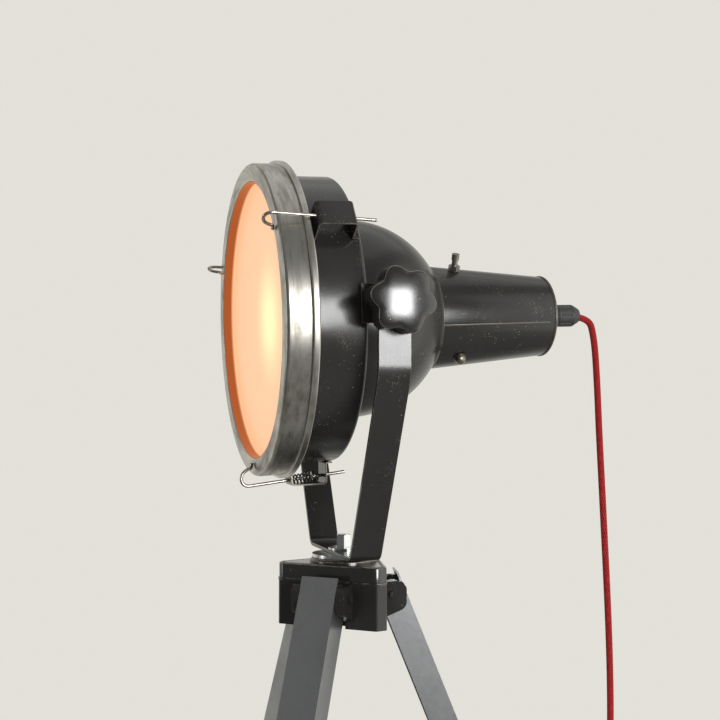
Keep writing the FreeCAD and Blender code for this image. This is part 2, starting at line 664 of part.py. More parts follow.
def make_clip_hook(number):
    """A wire through the bracket, bent down into a broad hook over the bezel's front."""
    back = V(0, CLIP_WIRE_BACK[0], CLIP_WIRE_BACK[1])
    front = V(0, CLIP_WIRE_FRONT[0], CLIP_WIRE_FRONT[1])
    tip_place = BEZEL_FRONT - CLIP_WIRE_RADIUS - TOUCH_GAP
    low = V(0, tip_place - 3.2, CLIP_TIP_RADIUS + 6)
    tip = V(0, tip_place, CLIP_TIP_RADIUS)
    edges = corner_edges([back, front, low, tip], [0, 5.0, 4.0, 0], closed=False)
    wire = tube_along(edges, CLIP_WIRE_RADIUS)
    pad = Part.makeCylinder(CLIP_WIRE_RADIUS, CLIP_TIP_WIDTH, V(-CLIP_TIP_WIDTH / 2, tip_place, CLIP_TIP_RADIUS + 0.6),
                            V(1, 0, 0))
    collar_back = collar_start()
    collar = Part.makeCylinder(CLIP_COLLAR_RADIUS, CLIP_COLLAR_LENGTH, collar_back, clip_direction() * -1)
    return around_axis(wire.fuse([pad, collar]).removeSplitter(), CLIP_ANGLES[number])


def collar_start():
    """Where the spring bears on the wire's collar, one spring's length behind the bracket's front wall."""
    place = BRACKET_FRONT + BRACKET_SHEET + 1.0
    wall = V(0, place, wire_height(place))
    return wall - clip_direction() * SPRING_LENGTH


def make_clip_spring(number):
    """A compression spring round the wire: one unbroken tube, with a straight diameter at each end."""
    axis = clip_direction() * -1
    start = collar_start() - axis * (SPRING_LENGTH - 1.4)
    side = V(1, 0, 0)
    other = unit(axis.cross(side))
    length = SPRING_LENGTH - 2.8
    halves = 2 * SPRING_CURLS
    rise = length / halves
    slope = rise / (math.pi * SPRING_RADIUS)

    def point(i):
        return start + axis * (rise * i) + side * (SPRING_RADIUS * math.cos(math.pi * i))

    def heading(i):
        return unit(other * math.cos(math.pi * i) + axis * slope)

    edges = []
    tail = 2 * SPRING_WIRE_RADIUS
    edges.append(Part.makeLine(point(0) - heading(0) * tail, point(0)))
    for i in range(halves):
        edges += biarc(point(i), heading(i), point(i + 1), heading(i + 1))
    edges.append(Part.makeLine(point(halves), point(halves) + heading(halves) * tail))
    if number == 0:
        print("clip spring least gap %.2f" % least_gap(edges, SPRING_WIRE_RADIUS, 4.5 * SPRING_RADIUS))
    return around_axis(tube_along(edges, SPRING_WIRE_RADIUS), CLIP_ANGLES[number])


# ---------------------------------------------------------------- head: tilt pivot
def make_pivot_lug():
    """The right-hand lug: a plate riveted to the drum's side with a spacer and a threaded stud."""
    half = LUG_HEIGHT / 2
    outline = [V(LUG_INNER, LUG_FRONT, AXIS_DROP - half), V(LUG_INNER, LUG_BACK, AXIS_DROP - half),
               V(LUG_INNER, LUG_BACK, AXIS_DROP + half), V(LUG_INNER, LUG_FRONT, AXIS_DROP + half)]
    plate = face_of(outline, [6, half - 0.2, half - 0.2, 6]).extrude(V(LUG_SHEET, 0, 0))
    root_back = DRUM_BACK - DRUM_SHOULDER
    root = [V(DRUM_RADIUS - 6, LUG_FRONT, AXIS_DROP - half), V(DRUM_RADIUS - 6, root_back, AXIS_DROP - half),
            V(DRUM_RADIUS - 6, root_back, AXIS_DROP + half), V(DRUM_RADIUS - 6, LUG_FRONT, AXIS_DROP + half)]
    saddle = face_of(root, [6, 0, 0, 6]).extrude(V(LUG_OUTER - DRUM_RADIUS + 6, 0, 0))
    saddle = saddle.cut(tube_y(DRUM_RADIUS, 0, LUG_FRONT - 5, LUG_BACK))
    lug = plate.fuse(saddle)
    for z in (-9.0, 9.0):
        head = Part.makeSphere(3.6, V(LUG_OUTER - 1.6, (LUG_FRONT + root_back) / 2, AXIS_DROP + z))
        lug = lug.fuse(head.common(tube_x(5, 0, LUG_OUTER - 0.5, LUG_OUTER + 5, (LUG_FRONT + root_back) / 2, AXIS_DROP + z)))
    spacer = tube_x(SPACER_RADIUS, 0, LUG_OUTER, ARM_INNER - 2 * RUNNING, 0, AXIS_DROP)
    stud = tube_x(STUD_RADIUS, 0, LUG_OUTER, ARM_OUTER + KNOB_STANDOFF + KNOB_BORE_DEPTH - 2, 0, AXIS_DROP)
    return lug.fuse([spacer, stud]).removeSplitter()


def make_knob():
    """A six-lobed clamping knob with a domed face, on a short standoff against the yoke arm."""
    inner = ARM_OUTER + 2 * RUNNING
    back = inner + KNOB_STANDOFF
    front = back + KNOB_THICKNESS
    edges = []
    lobe_half = math.radians(13)
    for i in range(KNOB_LOBES):
        middle = math.radians(KNOB_TURN + 360.0 / KNOB_LOBES * i)
        next_middle = math.radians(KNOB_TURN + 360.0 / KNOB_LOBES * (i + 1))
        between = (middle + next_middle) / 2
        shoulder = KNOB_RADIUS - 1.2

        def spot(radius, angle):
            return V(back, radius * math.cos(angle), AXIS_DROP + radius * math.sin(angle))

        edges.append(Part.Arc(spot(shoulder, middle - lobe_half), spot(KNOB_RADIUS, middle),
                              spot(shoulder, middle + lobe_half)).toShape())
        edges.append(Part.Arc(spot(shoulder, middle + lobe_half), spot(KNOB_WAIST, between),
                              spot(shoulder, next_middle - lobe_half)).toShape())
    body = Part.Face(Part.Wire(edges)).extrude(V(KNOB_THICKNESS, 0, 0))
    crown = 46.0
    dome = Part.makeSphere(crown, V(front - crown, 0, AXIS_DROP))
    skirt = tube_x(KNOB_RADIUS - 7, 0, inner, back, 0, AXIS_DROP).cut(
        tube_x(KNOB_RADIUS - 10, STUD_RADIUS + 5, inner - 1, back, 0, AXIS_DROP))
    hollow = tube_x(KNOB_RADIUS - 10, STUD_RADIUS + 5, back - 0.01, back + 6, 0, AXIS_DROP)
    bore = tube_x(STUD_RADIUS + RUNNING, 0, inner - 1, back + KNOB_BORE_DEPTH, 0, AXIS_DROP)
    hub = tube_x(STUD_RADIUS + 5, 0, inner, back + 1, 0, AXIS_DROP)
    return body.common(dome).cut(hollow).fuse([skirt, hub]).cut(bore).removeSplitter()


# ---------------------------------------------------------------- yoke and pan bearing
def make_yoke():
    """One flat bar bent to a tapered U, with round ends and three holes."""
    half = ARM_THICKNESS / 2
    top = PIVOT_HEIGHT + ARM_WIDTH / 2
    bend = PIVOT_HEIGHT - ARM_BEND_DROP
    middle = YOKE_BASE + half
    path = [(-ARM_SPREAD, top), (-ARM_SPREAD, bend, ARM_BEND_RADIUS), (-YOKE_BASE_HALF, middle, BASE_BEND_RADIUS),
            (YOKE_BASE_HALF, middle, BASE_BEND_RADIUS), (ARM_SPREAD, bend, ARM_BEND_RADIUS), (ARM_SPREAD, top)]
    outer = sheet_profile(path, half, 1)[len(path):][::-1]
    inner = sheet_profile(path, half, -1)[len(path):]
    corners = outer + inner
    points = [V(corner[0], -ARM_WIDTH / 2, corner[1]) for corner in corners]
    bar = face_of(points, [corner[2] for corner in corners]).extrude(V(0, ARM_WIDTH, 0))
    rise = ARM_WIDTH / 2
    side = [V(-200, -rise, YOKE_BASE - 5), V(-200, rise, YOKE_BASE - 5), V(-200, rise, top), V(-200, -rise, top)]
    envelope = face_of(side, [0, 0, rise - 0.05, rise - 0.05]).extrude(V(400, 0, 0))
    bar = bar.common(envelope)
    bar = bar.cut(tube_x(STUD_RADIUS + RUNNING, 0, -200, 200, 0, PIVOT_HEIGHT))
    return bar.cut(disc(BOLT_RADIUS + RUNNING, YOKE_BASE - 5, 20)).removeSplitter()


def make_pan_bolt():
    top = YOKE_TOP_FACE + WASHER_UPPER_THICKNESS + NUT_HEIGHT
    shank = disc(BOLT_RADIUS, HUB_BOTTOM + 12, top - HUB_BOTTOM - 14)
    head = hexagon(NUT_FLATS, V(0, 0, HUB_BOTTOM + 6), V(0, 0, 1), V(1, 0, 0)).extrude(V(0, 0, 6))
    return shank.fuse(head).removeSplitter()


def make_pan_nut():
    bottom = YOKE_TOP_FACE + 2 * RUNNING + WASHER_UPPER_THICKNESS
    nut = hexagon(NUT_FLATS, V(0, 0, bottom), V(0, 0, 1), V(1, 0.3, 0)).extrude(V(0, 0, NUT_HEIGHT))
    reach = NUT_FLATS / math.sqrt(3) + 0.1
    chamfer = Part.makeCone(reach + NUT_HEIGHT - 2.2, reach - 1.2, NUT_HEIGHT, V(0, 0, bottom))
    return nut.common(chamfer).cut(disc(BOLT_RADIUS, bottom - 1, NUT_HEIGHT - 1)).removeSplitter()


def hub_outline(corner_reach, side_reach, height, rounding):
    """A triangle with cut corners: each side faces a leg."""
    half_cut = (side_reach - corner_reach * math.cos(math.radians(60))) / math.sin(math.radians(60))
    points = []
    for i in range(3):
        turn = math.radians(HUB_ANGLE + 120 * i)
        forward = V(math.cos(turn), math.sin(turn), 0)
        across = V(-math.sin(turn), math.cos(turn), 0)
        for side in (-1, 1):
            points.append(forward * corner_reach + across * (side * half_cut) + V(0, 0, height))
    return face_of(points, [rounding] * 6)


def make_hub_cover():
    """The moulded cap over the hub: a cut-cornered plate with deep sides and a round boss."""
    plate = hub_outline(HUB_CORNER_REACH, HUB_SIDE_REACH, COVER_BOTTOM, 3.0).extrude(V(0, 0, HUB_COVER_HEIGHT))
    top_edges = [edge for edge in plate.Edges if all(abs(vertex.Z - HUB_TOP) < 1e-6 for vertex in edge.Vertexes)]
    plate = plate.makeFillet(2.2, top_edges)
    boss = disc(HUB_BOSS_RADIUS, HUB_TOP - 1, HUB_BOSS_HEIGHT + 1)
    rim = [edge for edge in boss.Edges if edge.Length > 10 and abs(edge.BoundBox.ZMin - HUB_TOP - HUB_BOSS_HEIGHT) < 1e-6
           and abs(edge.BoundBox.ZMax - HUB_TOP - HUB_BOSS_HEIGHT) < 1e-6]
    boss = boss.makeFillet(2.0, rim)
    return plate.fuse(boss).cut(disc(BOLT_RADIUS + RUNNING, COVER_BOTTOM - 1, 40)).removeSplitter()


def leg_angle(number):
    return LEG_FIRST_ANGLE + 360.0 / LEG_COUNT * number


def turned(shape, angle):
    copy = shape.copy()
    copy.rotate(V(0, 0, 0), V(0, 0, 1), angle)
    return copy


def make_hub_body():
    """The casting under the cap: three slots, each between two bored lugs with a hinge pin."""
    outline = hub_outline(HUB_CORNER_REACH - HUB_INSET, HUB_SIDE_REACH - HUB_INSET, HUB_BOTTOM, 3.0)
    body = outline.extrude(V(0, 0, HUB_BODY_HEIGHT))
    inner_half = LEG_WIDTH / 2 + LEG_SIDE_GAP
    outer_half = inner_half + LUG_PLATE
    top = COVER_BOTTOM
    lug_reach = LEG_PIN_REACH + 13
    for number in range(LEG_COUNT):
        for side in (-1, 1):
            start = inner_half if side > 0 else -outer_half
            outline = [V(20, start, top), V(lug_reach - 4, start, top), V(lug_reach, start, PIN_HEIGHT + 6),
                       V(lug_reach, start, PIN_HEIGHT - 13), V(20, start, HUB_BOTTOM)]
            lug = face_of(outline, [0, 3, 4, 9, 0]).extrude(V(0, LUG_PLATE, 0))
            body = body.fuse(turned(lug, leg_angle(number)))
    for number in range(LEG_COUNT):
        slot = block(HUB_CORE_REACH, 90, -inner_half, inner_half, HUB_BOTTOM - 1, COVER_BOTTOM + 1)
        body = body.cut(turned(slot, leg_angle(number)))
    for number in range(LEG_COUNT):
        pin = Part.makeCylinder(LEG_PIN_RADIUS, 2 * outer_half + 6, V(LEG_PIN_REACH, -outer_half - 3, PIN_HEIGHT), V(0, 1, 0))
        body = body.fuse(turned(pin, leg_angle(number)))
    body = body.cut(disc(BOLT_RADIUS + RUNNING, HUB_BOTTOM - 1, HUB_BODY_HEIGHT + 2))
    return body.cut(disc(NUT_FLATS / math.sqrt(3) + SLIP, HUB_BOTTOM - 1, 13)).removeSplitter()


# ---------------------------------------------------------------- legs
def set_leg(shape, number):
    """Move a leg piece from its own upright frame, with the hinge pin at the origin, to its place."""
    placed = shape.copy()
    placed.rotate(V(0, 0, 0), V(0, 1, 0), -LEG_SPLAY)
    placed.translate(V(LEG_PIN_REACH, 0, PIN_HEIGHT))
    return turned(placed, leg_angle(number))


def make_leg_upper():
    """An aluminium channel, open on its inner side, with round ears on the hinge pin."""
    half_width = LEG_WIDTH / 2
    half_depth = LEG_DEPTH / 2
    channel = block(-half_depth, half_depth, -half_width, half_width, -LEG_UPPER_LENGTH, LEG_TOP)
    inside = block(-half_depth - 1, half_depth - LEG_SHEET, -half_width + LEG_SHEET, half_width - LEG_SHEET,
                   -LEG_UPPER_LENGTH - 1, LEG_TOP + 1)
    channel = channel.cut(inside)
    crown = block(-half_depth - 1, half_depth - LEG_SHEET, -half_width - 1, half_width + 1, 0, LEG_TOP + 1)
    ear = Part.makeCylinder(half_depth, LEG_WIDTH + 2, V(0, -half_width - 1, 0), V(0, 1, 0))
    channel = channel.cut(crown.cut(ear))
    pin_hole = Part.makeCylinder(LEG_PIN_RADIUS + RUNNING, LEG_WIDTH + 2, V(0, -half_width - 1, 0), V(0, 1, 0))
    return channel.cut(pin_hole).removeSplitter()


def make_leg_lower():
    """A box tube that slides in the channel."""
    top = -LEG_UPPER_LENGTH + LEG_OVERLAP
    bottom = -LEG_REACH + FOOT_SOLE
    low = TUBE_OFFSET - TUBE_DEPTH / 2
    high = TUBE_OFFSET + TUBE_DEPTH / 2
    half = TUBE_WIDTH / 2
    tube = block(low, high, -half, half, bottom, top)
    wall = LEG_TUBE_WALL
    return tube.cut(block(low + wall, high - wall, -half + wall, half - wall, bottom - 1, top + 1))


def make_leg_clamp():
    """A moulded collar on the channel's end that closes round the tube, with a clamping knob outside."""
    half_width = LEG_WIDTH / 2
    half_depth = LEG_DEPTH / 2
    wall = CLAMP_WALL
    bottom = -LEG_UPPER_LENGTH - 12
    outline = [V(-half_depth - wall, -half_width - wall, bottom), V(half_depth + wall, -half_width - wall, bottom),
               V(half_depth + wall, half_width + wall, bottom), V(-half_depth - wall, half_width + wall, bottom)]
    collar = face_of(outline, [5] * 4).extrude(V(0, 0, CLAMP_HEIGHT))
    collar = collar.cut(block(-half_depth, half_depth, -half_width, half_width, -LEG_UPPER_LENGTH, 0))
    gap = LEG_SIDE_GAP
    collar = collar.cut(block(TUBE_OFFSET - TUBE_DEPTH / 2 - gap, TUBE_OFFSET + TUBE_DEPTH / 2 + gap,
                              -TUBE_WIDTH / 2 - gap, TUBE_WIDTH / 2 + gap, bottom - 1, 0))
    knob = tube_x(CLAMP_KNOB_RADIUS, 0, half_depth + wall + 4, half_depth + wall + CLAMP_KNOB_LENGTH, 0, bottom + 17)
    rim = [edge for edge in knob.Edges if edge.Length > 20 and edge.BoundBox.XLength < 0.01]
    knob = knob.makeFillet(2.0, rim)
    shaft = tube_x(4.0, 0, half_depth + wall - 0.5, half_depth + wall + 5, 0, bottom + 17)
    return collar.fuse([knob, shaft]).removeSplitter()


def make_leg_foot(number):
    """A rubber shoe on the tube's end, cut level where it stands."""
    wall = FOOT_WALL
    low = TUBE_OFFSET - TUBE_DEPTH / 2
    high = TUBE_OFFSET + TUBE_DEPTH / 2
    half = TUBE_WIDTH / 2
    bottom = -LEG_REACH - 24
    outline = [V(low - wall, -half - wall, bottom), V(high + wall, -half - wall, bottom),
               V(high + wall, half + wall, bottom), V(low - wall, half + wall, bottom)]
    shoe = face_of(outline, [5] * 4).extrude(V(0, 0, 24 + FOOT_SOLE + FOOT_GRIP))
    shoe = shoe.cut(block(low, high, -half, half, -LEG_REACH + FOOT_SOLE, 0))
    placed = set_leg(shoe, number)
    return placed.cut(block(-900, 900, -900, 900, -200, 0)).removeSplitter()


# ---------------------------------------------------------------- cord and plug
def coil_edges():
    """Flat half turns that wind inwards, climb one layer, and wind out again."""
    start = V(*CORD_LOWER_POINTS[-1])
    radii = [COIL_OUTER - COIL_STEP * i for i in range(COIL_HALF_TURNS)]
    climb = COIL_OUTER - COIL_STEP * COIL_HALF_TURNS
    turns = [(radius, 0) for radius in radii] + [(climb, COIL_RISE)] + [(radius, 0) for radius in radii[::-1]]
    here = start
    sign = -1
    lead = 2 * CORD_RADIUS
    edges = [Part.makeLine(here, here + V(sign * lead, 0, 0))]
    here = here + V(sign * lead, 0, 0)
    for radius, rise in turns:
        there = here + V(0, sign * 2 * radius, rise)
        edges += biarc(here, V(sign, 0, 0), there, V(-sign, 0, 0))
        here = there
        sign = -sign
    there = here + V(sign * lead, 0, 0)
    edges.append(Part.makeLine(here, there))
    return edges, there


def make_cord_nodes():
    """The cord in its free stretches and one coil. Returns where the cord meets the plug."""
    nodes["cord_upper"] = tube_along(cord_edges(CORD_UPPER_POINTS, "cord_upper"), CORD_RADIUS)
    nodes["cord_middle"] = tube_along(cord_edges(CORD_MIDDLE_POINTS, "cord_middle"), CORD_RADIUS)
    nodes["cord_lower"] = tube_along(cord_edges(CORD_LOWER_POINTS, "cord_lower"), CORD_RADIUS)
    edges, exit_point = coil_edges()
    print("coil least gap %.2f, leaves at %s" % (least_gap(edges, CORD_RADIUS, 70), exit_point))
    nodes["cord_coil"] = tube_along(edges, CORD_RADIUS)
    route = [tuple(exit_point)] + CORD_END_POINTS
    nodes["cord_end"] = tube_along(cord_edges(route, "cord_end"), CORD_RADIUS)


def set_plug(shape):
    """Move a plug piece from its own +X axis to the cord's end."""
    before = V(*CORD_END_POINTS[-2])
    end = V(*CORD_END_POINTS[-1])
    heading = unit(end - before)
    placed = shape.copy()
    placed.rotate(V(0, 0, 0), V(0, 1, 0), -math.degrees(math.asin(heading.z)))
    placed.rotate(V(0, 0, 0), V(0, 0, 1), math.degrees(math.atan2(heading.y, heading.x)))
    placed.translate(end)
    return placed


def make_plug():
    """A round two-pin mains plug with a tapered sleeve."""
    points = [V(0, 0, 0), V(0, 6, 0), V(PLUG_SLEEVE, 9, 0), V(PLUG_SLEEVE + 8, PLUG_RADIUS - 1.5, 0),
              V(PLUG_SLEEVE + PLUG_LENGTH, PLUG_RADIUS - 0.8, 0), V(PLUG_SLEEVE + PLUG_LENGTH, 0, 0)]
    body = face_of(points, [0, 1, 3, 5, 2, 0]).revolve(V(0, 0, 0), V(1, 0, 0), 360)
    return body


def make_plug_pins():
    start = PLUG_SLEEVE + PLUG_LENGTH
    bridge = block(start - 4, start, -PIN_SPACING / 2, PIN_SPACING / 2, -1, 1)
    pins = [Part.makeCylinder(PIN_RADIUS, PIN_LENGTH + 4, V(start - 4, side * PIN_SPACING / 2, 0), V(1, 0, 0))
            for side in (-1, 1)]
    return bridge.fuse(pins).removeSplitter()


# ---------------------------------------------------------------- assembly
def build_head():
    pieces = {
        "bezel_ring": make_bezel(), "drum_shell": make_drum(), "dome_shell": make_dome(),
        "cone_housing": make_cone(), "cone_end_cap": make_cone_cap(), "lens_glass": make_lens(),
        "lens_gasket": make_gasket(), "lens_retainer": make_retainer(), "reflector": make_reflector(),
        "bulb_globe": make_bulb_globe(), "bulb_cap": make_bulb_cap(), "lampholder": make_lampholder(),
        "lampholder_bracket": make_holder_bracket(), "terminal_block": make_terminals(),
        "gland_body": make_gland_body(), "gland_nut": make_gland_nut(), "gland_seal": make_gland_seal(),
    }
    for number in range(3):
        pieces["cone_clamp_screw_%d" % (number + 1)] = make_clamp_screw(number)
        pieces["clip_bracket_%d" % (number + 1)] = make_clip_bracket(number)
        pieces["clip_hook_%d" % (number + 1)] = make_clip_hook(number)
        pieces["clip_spring_%d" % (number + 1)] = make_clip_spring(number)
    lug = make_pivot_lug()
    knob = make_knob()
    pieces["pivot_lug_right"] = lug
    pieces["pivot_lug_left"] = mirrored(lug)
    pieces["tilt_knob_right"] = knob
    pieces["tilt_knob_left"] = mirrored(knob)
    for name, shape in pieces.items():
        nodes[name] = set_head(shape)


def build_stand():
    nodes["yoke"] = make_yoke()
    upper = YOKE_TOP_FACE + 2 * RUNNING
    nodes["pan_washer_upper"] = disc(WASHER_UPPER_RADIUS, upper, WASHER_UPPER_THICKNESS, BOLT_RADIUS)
    lower = YOKE_BASE - 2 * RUNNING - WASHER_LOWER_THICKNESS
    nodes["pan_washer_lower"] = disc(WASHER_LOWER_RADIUS, lower, WASHER_LOWER_THICKNESS, BOLT_RADIUS)
    nodes["pan_bolt"] = make_pan_bolt()
    nodes["pan_nut"] = make_pan_nut()
    nodes["hub_cover"] = make_hub_cover()
    nodes["hub_body"] = make_hub_body()
    upper_leg, lower_leg, clamp = make_leg_upper(), make_leg_lower(), make_leg_clamp()
    for number in range(LEG_COUNT):
        nodes["leg_upper_%d" % (number + 1)] = set_leg(upper_leg, number)
        nodes["leg_lower_%d" % (number + 1)] = set_leg(lower_leg, number)
        nodes["leg_clamp_%d" % (number + 1)] = set_leg(clamp, number)
        nodes["leg_foot_%d" % (number + 1)] = make_leg_foot(number)


build_head()
build_stand()
make_cord_nodes()
pins = make_plug_pins()
nodes["plug_body"] = set_plug(make_plug().cut(pins))
nodes["plug_pins"] = set_plug(pins)

for name, shape in nodes.items():
    if not shape.isValid() or not shape.Solids:
        print("CHECK", name, shape.isValid(), len(shape.Solids))
    shape.exportStep("parts/%s.step" % name)
print(len(nodes), "nodes")
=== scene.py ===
# %% [markdown]
# A floor lamp is drawn here from a measured model. The model gives every solid its place in metres, and
# this lesson gives the lamp its looks: turned steel, worn black paint, a glowing glass and a braided cord.
# The model is loaded first.

# %% Load the measured model
import math
import bmesh
import bpy
from mathutils import Matrix, Vector


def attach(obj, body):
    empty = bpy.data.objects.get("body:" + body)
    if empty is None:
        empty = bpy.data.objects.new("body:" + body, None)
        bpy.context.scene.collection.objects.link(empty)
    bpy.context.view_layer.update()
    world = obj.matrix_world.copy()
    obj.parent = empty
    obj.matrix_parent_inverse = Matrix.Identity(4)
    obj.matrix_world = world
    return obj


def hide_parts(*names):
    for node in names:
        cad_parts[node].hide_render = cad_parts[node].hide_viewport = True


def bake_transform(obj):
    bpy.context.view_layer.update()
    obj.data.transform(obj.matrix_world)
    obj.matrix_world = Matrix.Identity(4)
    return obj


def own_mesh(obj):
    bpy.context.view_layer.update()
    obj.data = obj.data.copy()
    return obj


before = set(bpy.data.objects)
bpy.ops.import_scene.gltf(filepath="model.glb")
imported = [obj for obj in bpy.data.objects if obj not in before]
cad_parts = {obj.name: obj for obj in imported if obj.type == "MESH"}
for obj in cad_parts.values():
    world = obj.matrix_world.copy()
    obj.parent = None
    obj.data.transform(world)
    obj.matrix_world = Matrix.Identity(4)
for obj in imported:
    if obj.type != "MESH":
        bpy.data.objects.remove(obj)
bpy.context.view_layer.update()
scene = bpy.context.scene
print("solids in the model:", len(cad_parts))

# %% [markdown]
# The lamp head leans two degrees forward on its pivot, 1.4 m above the floor. Its turned pieces are easiest
# to draw about their own axis and then to set in place with one matrix, which is what HEAD holds.

# %% Places that the pieces share
MM = 0.001
PIVOT_HEIGHT = 1.400
PIVOT_ABOVE_AXIS = 5 * MM
LEAN = math.radians(2)
HEAD = (Matrix.Translation((0, 0, PIVOT_HEIGHT)) @ Matrix.Rotation(LEAN, 4, "X")
        @ Matrix.Translation((0, 0, -PIVOT_ABOVE_AXIS)))
PIVOT = HEAD @ Matrix.Translation((0, 0, PIVOT_ABOVE_AXIS))
print("lamp axis starts at", [round(c, 4) for c in HEAD.translation])

# %% [markdown]
# The photograph was taken from a little below the lamp head, with a longish lens, a metre away and 17 degrees
# forward of the lamp's side. A camera is pointed with to_track_quat, which turns its view along a direction.

# %% Camera
CAMERA_TURN = math.radians(17.3)
CAMERA_RISE = math.radians(2)
toward = Vector((-math.cos(CAMERA_TURN), math.sin(CAMERA_TURN), math.tan(CAMERA_RISE)))
lens = bpy.data.cameras.new("camera")
lens.sensor_width = 36
lens.lens = 60.025
camera = bpy.data.objects.new("camera", lens)
camera.location = (1.1381, -0.3376, 1.313)
camera.rotation_euler = toward.to_track_quat("-Z", "Y").to_euler()
scene.collection.objects.link(camera)
scene.camera = camera
scene.view_settings.view_transform = "Standard"
print("camera looks along", [round(c, 3) for c in toward.normalized()])

# %% [markdown]
# A material is a small machine of nodes. Two helpers keep the script readable: one adds a node and fills or
# links its inputs, and one adds a bit of arithmetic. Effects that several finishes share become node groups.

# %% Node helpers
def add(tree, kind, inputs=None, **settings):
    made = tree.nodes.new("ShaderNode" + kind)
    for key, value in settings.items():
        setattr(made, key, value)
    for key, value in (inputs or {}).items():
        if isinstance(value, bpy.types.NodeSocket):
            tree.links.new(value, made.inputs[key])
        else:
            made.inputs[key].default_value = value
    return made


def sum_of(tree, operation, *values, clamp=False):
    return add(tree, "Math", dict(enumerate(values)), operation=operation, use_clamp=clamp).outputs[0]


def between(tree, amount, low, high):
    return add(tree, "Mix", {0: amount, 2: low, 3: high}, data_type="FLOAT").outputs[0]


def mixed(tree, amount, low, high):
    return add(tree, "Mix", {0: amount, 6: low, 7: high}, data_type="RGBA").outputs[2]


def ramp(tree, value, low, high):
    return add(tree, "MapRange", {0: value, 1: low, 2: high}, interpolation_type="SMOOTHSTEP").outputs[0]


def noise(tree, vector, scale, detail=2.0, rough=0.5):
    made = add(tree, "TexNoise", {"Vector": vector, "Scale": scale, "Detail": detail, "Roughness": rough})
    return made.outputs[0]


def new_group(name, inputs, outputs):
    group = bpy.data.node_groups.new(name, "ShaderNodeTree")
    for label, kind in inputs:
        group.interface.new_socket(label, in_out="INPUT", socket_type="NodeSocket" + kind)
    for label in outputs:
        group.interface.new_socket(label, in_out="OUTPUT", socket_type="NodeSocketFloat")
    return group, group.nodes.new("NodeGroupInput").outputs, group.nodes.new("NodeGroupOutput").inputs


def use(tree, group, inputs):
    return add(tree, "Group", inputs, node_tree=group).outputs


# %% [markdown]
# Paint on a lamp that has been handled for years is not one black. It carries dust specks, rubbed scuffs and
# a slow change of gloss. The Marks group makes those three masks: specks from Voronoi cells of which only a
# few are kept, scuffs from stretched noise inside larger patches, and a blotch from one soft noise.

# %% Group: marks of use
LARGEST_SPECK = 0.26
marks, given, out = new_group("Marks", [("Vector", "Vector"), ("Speck Scale", "Float"), ("Specks", "Float"),
                                        ("Scuffs", "Float")], ["Specks", "Scuffs", "Blotch"])
cells = add(marks, "TexVoronoi", {"Vector": given["Vector"], "Scale": given["Speck Scale"]})
chance = add(marks, "SeparateColor", {0: cells.outputs["Color"]})
patches = ramp(marks, noise(marks, given["Vector"], 16.0, 1.0), 0.50, 0.68)
kept = sum_of(marks, "LESS_THAN", chance.outputs[0], sum_of(marks, "MULTIPLY", given["Specks"], patches))
size = sum_of(marks, "MULTIPLY", chance.outputs[1], LARGEST_SPECK)
dots = sum_of(marks, "LESS_THAN", cells.outputs["Distance"], size)
marks.links.new(sum_of(marks, "MULTIPLY", kept, dots), out["Specks"])
stretched = add(marks, "Mapping", {"Vector": given["Vector"], "Rotation": (0.5, 0.2, 0.9), "Scale": (1, 5, 2)})
fine = ramp(marks, noise(marks, stretched.outputs[0], 240.0, 5.0, 0.7), 0.56, 0.68)
where = ramp(marks, noise(marks, given["Vector"], 31.0, 2.0), 0.58, 0.70)
marks.links.new(sum_of(marks, "MULTIPLY", sum_of(marks, "MULTIPLY", fine, where), given["Scuffs"]), out["Scuffs"])
marks.links.new(noise(marks, given["Vector"], 14.0, 4.0, 0.6), out["Blotch"])
print("marks group:", [item.name for item in marks.interface.items_tree])

# %% [markdown]
# Corners lose their paint first. Every piece drawn below stores how sharply its surface bends in a mesh
# attribute named wear, and this group breaks that value up with noise so that the bare line comes and goes.

# %% Group: worn edges
worn, given, out = new_group("Worn edges", [("Wear", "Float"), ("Vector", "Vector"), ("Amount", "Float")], ["Mask"])
rough = noise(worn, given["Vector"], 90.0, 5.0, 0.7)
push = sum_of(worn, "ADD", sum_of(worn, "MULTIPLY", given["Wear"], given["Amount"]),
              sum_of(worn, "MULTIPLY", sum_of(worn, "SUBTRACT", rough, 0.5), 1.4))
worn.links.new(sum_of(worn, "MULTIPLY", ramp(worn, push, 0.45, 0.75), ramp(worn, given["Wear"], 0.05, 0.4)), out[0])
print("worn edges group ready")

# %% [markdown]
# A ring that was turned on a lathe keeps fine lines that run round its axis. The group measures each point's
# distance from the axis and its place along it, stretches noise over those two, and lets it drift slowly with
# the direction round the axis, so that no line ends in a seam.

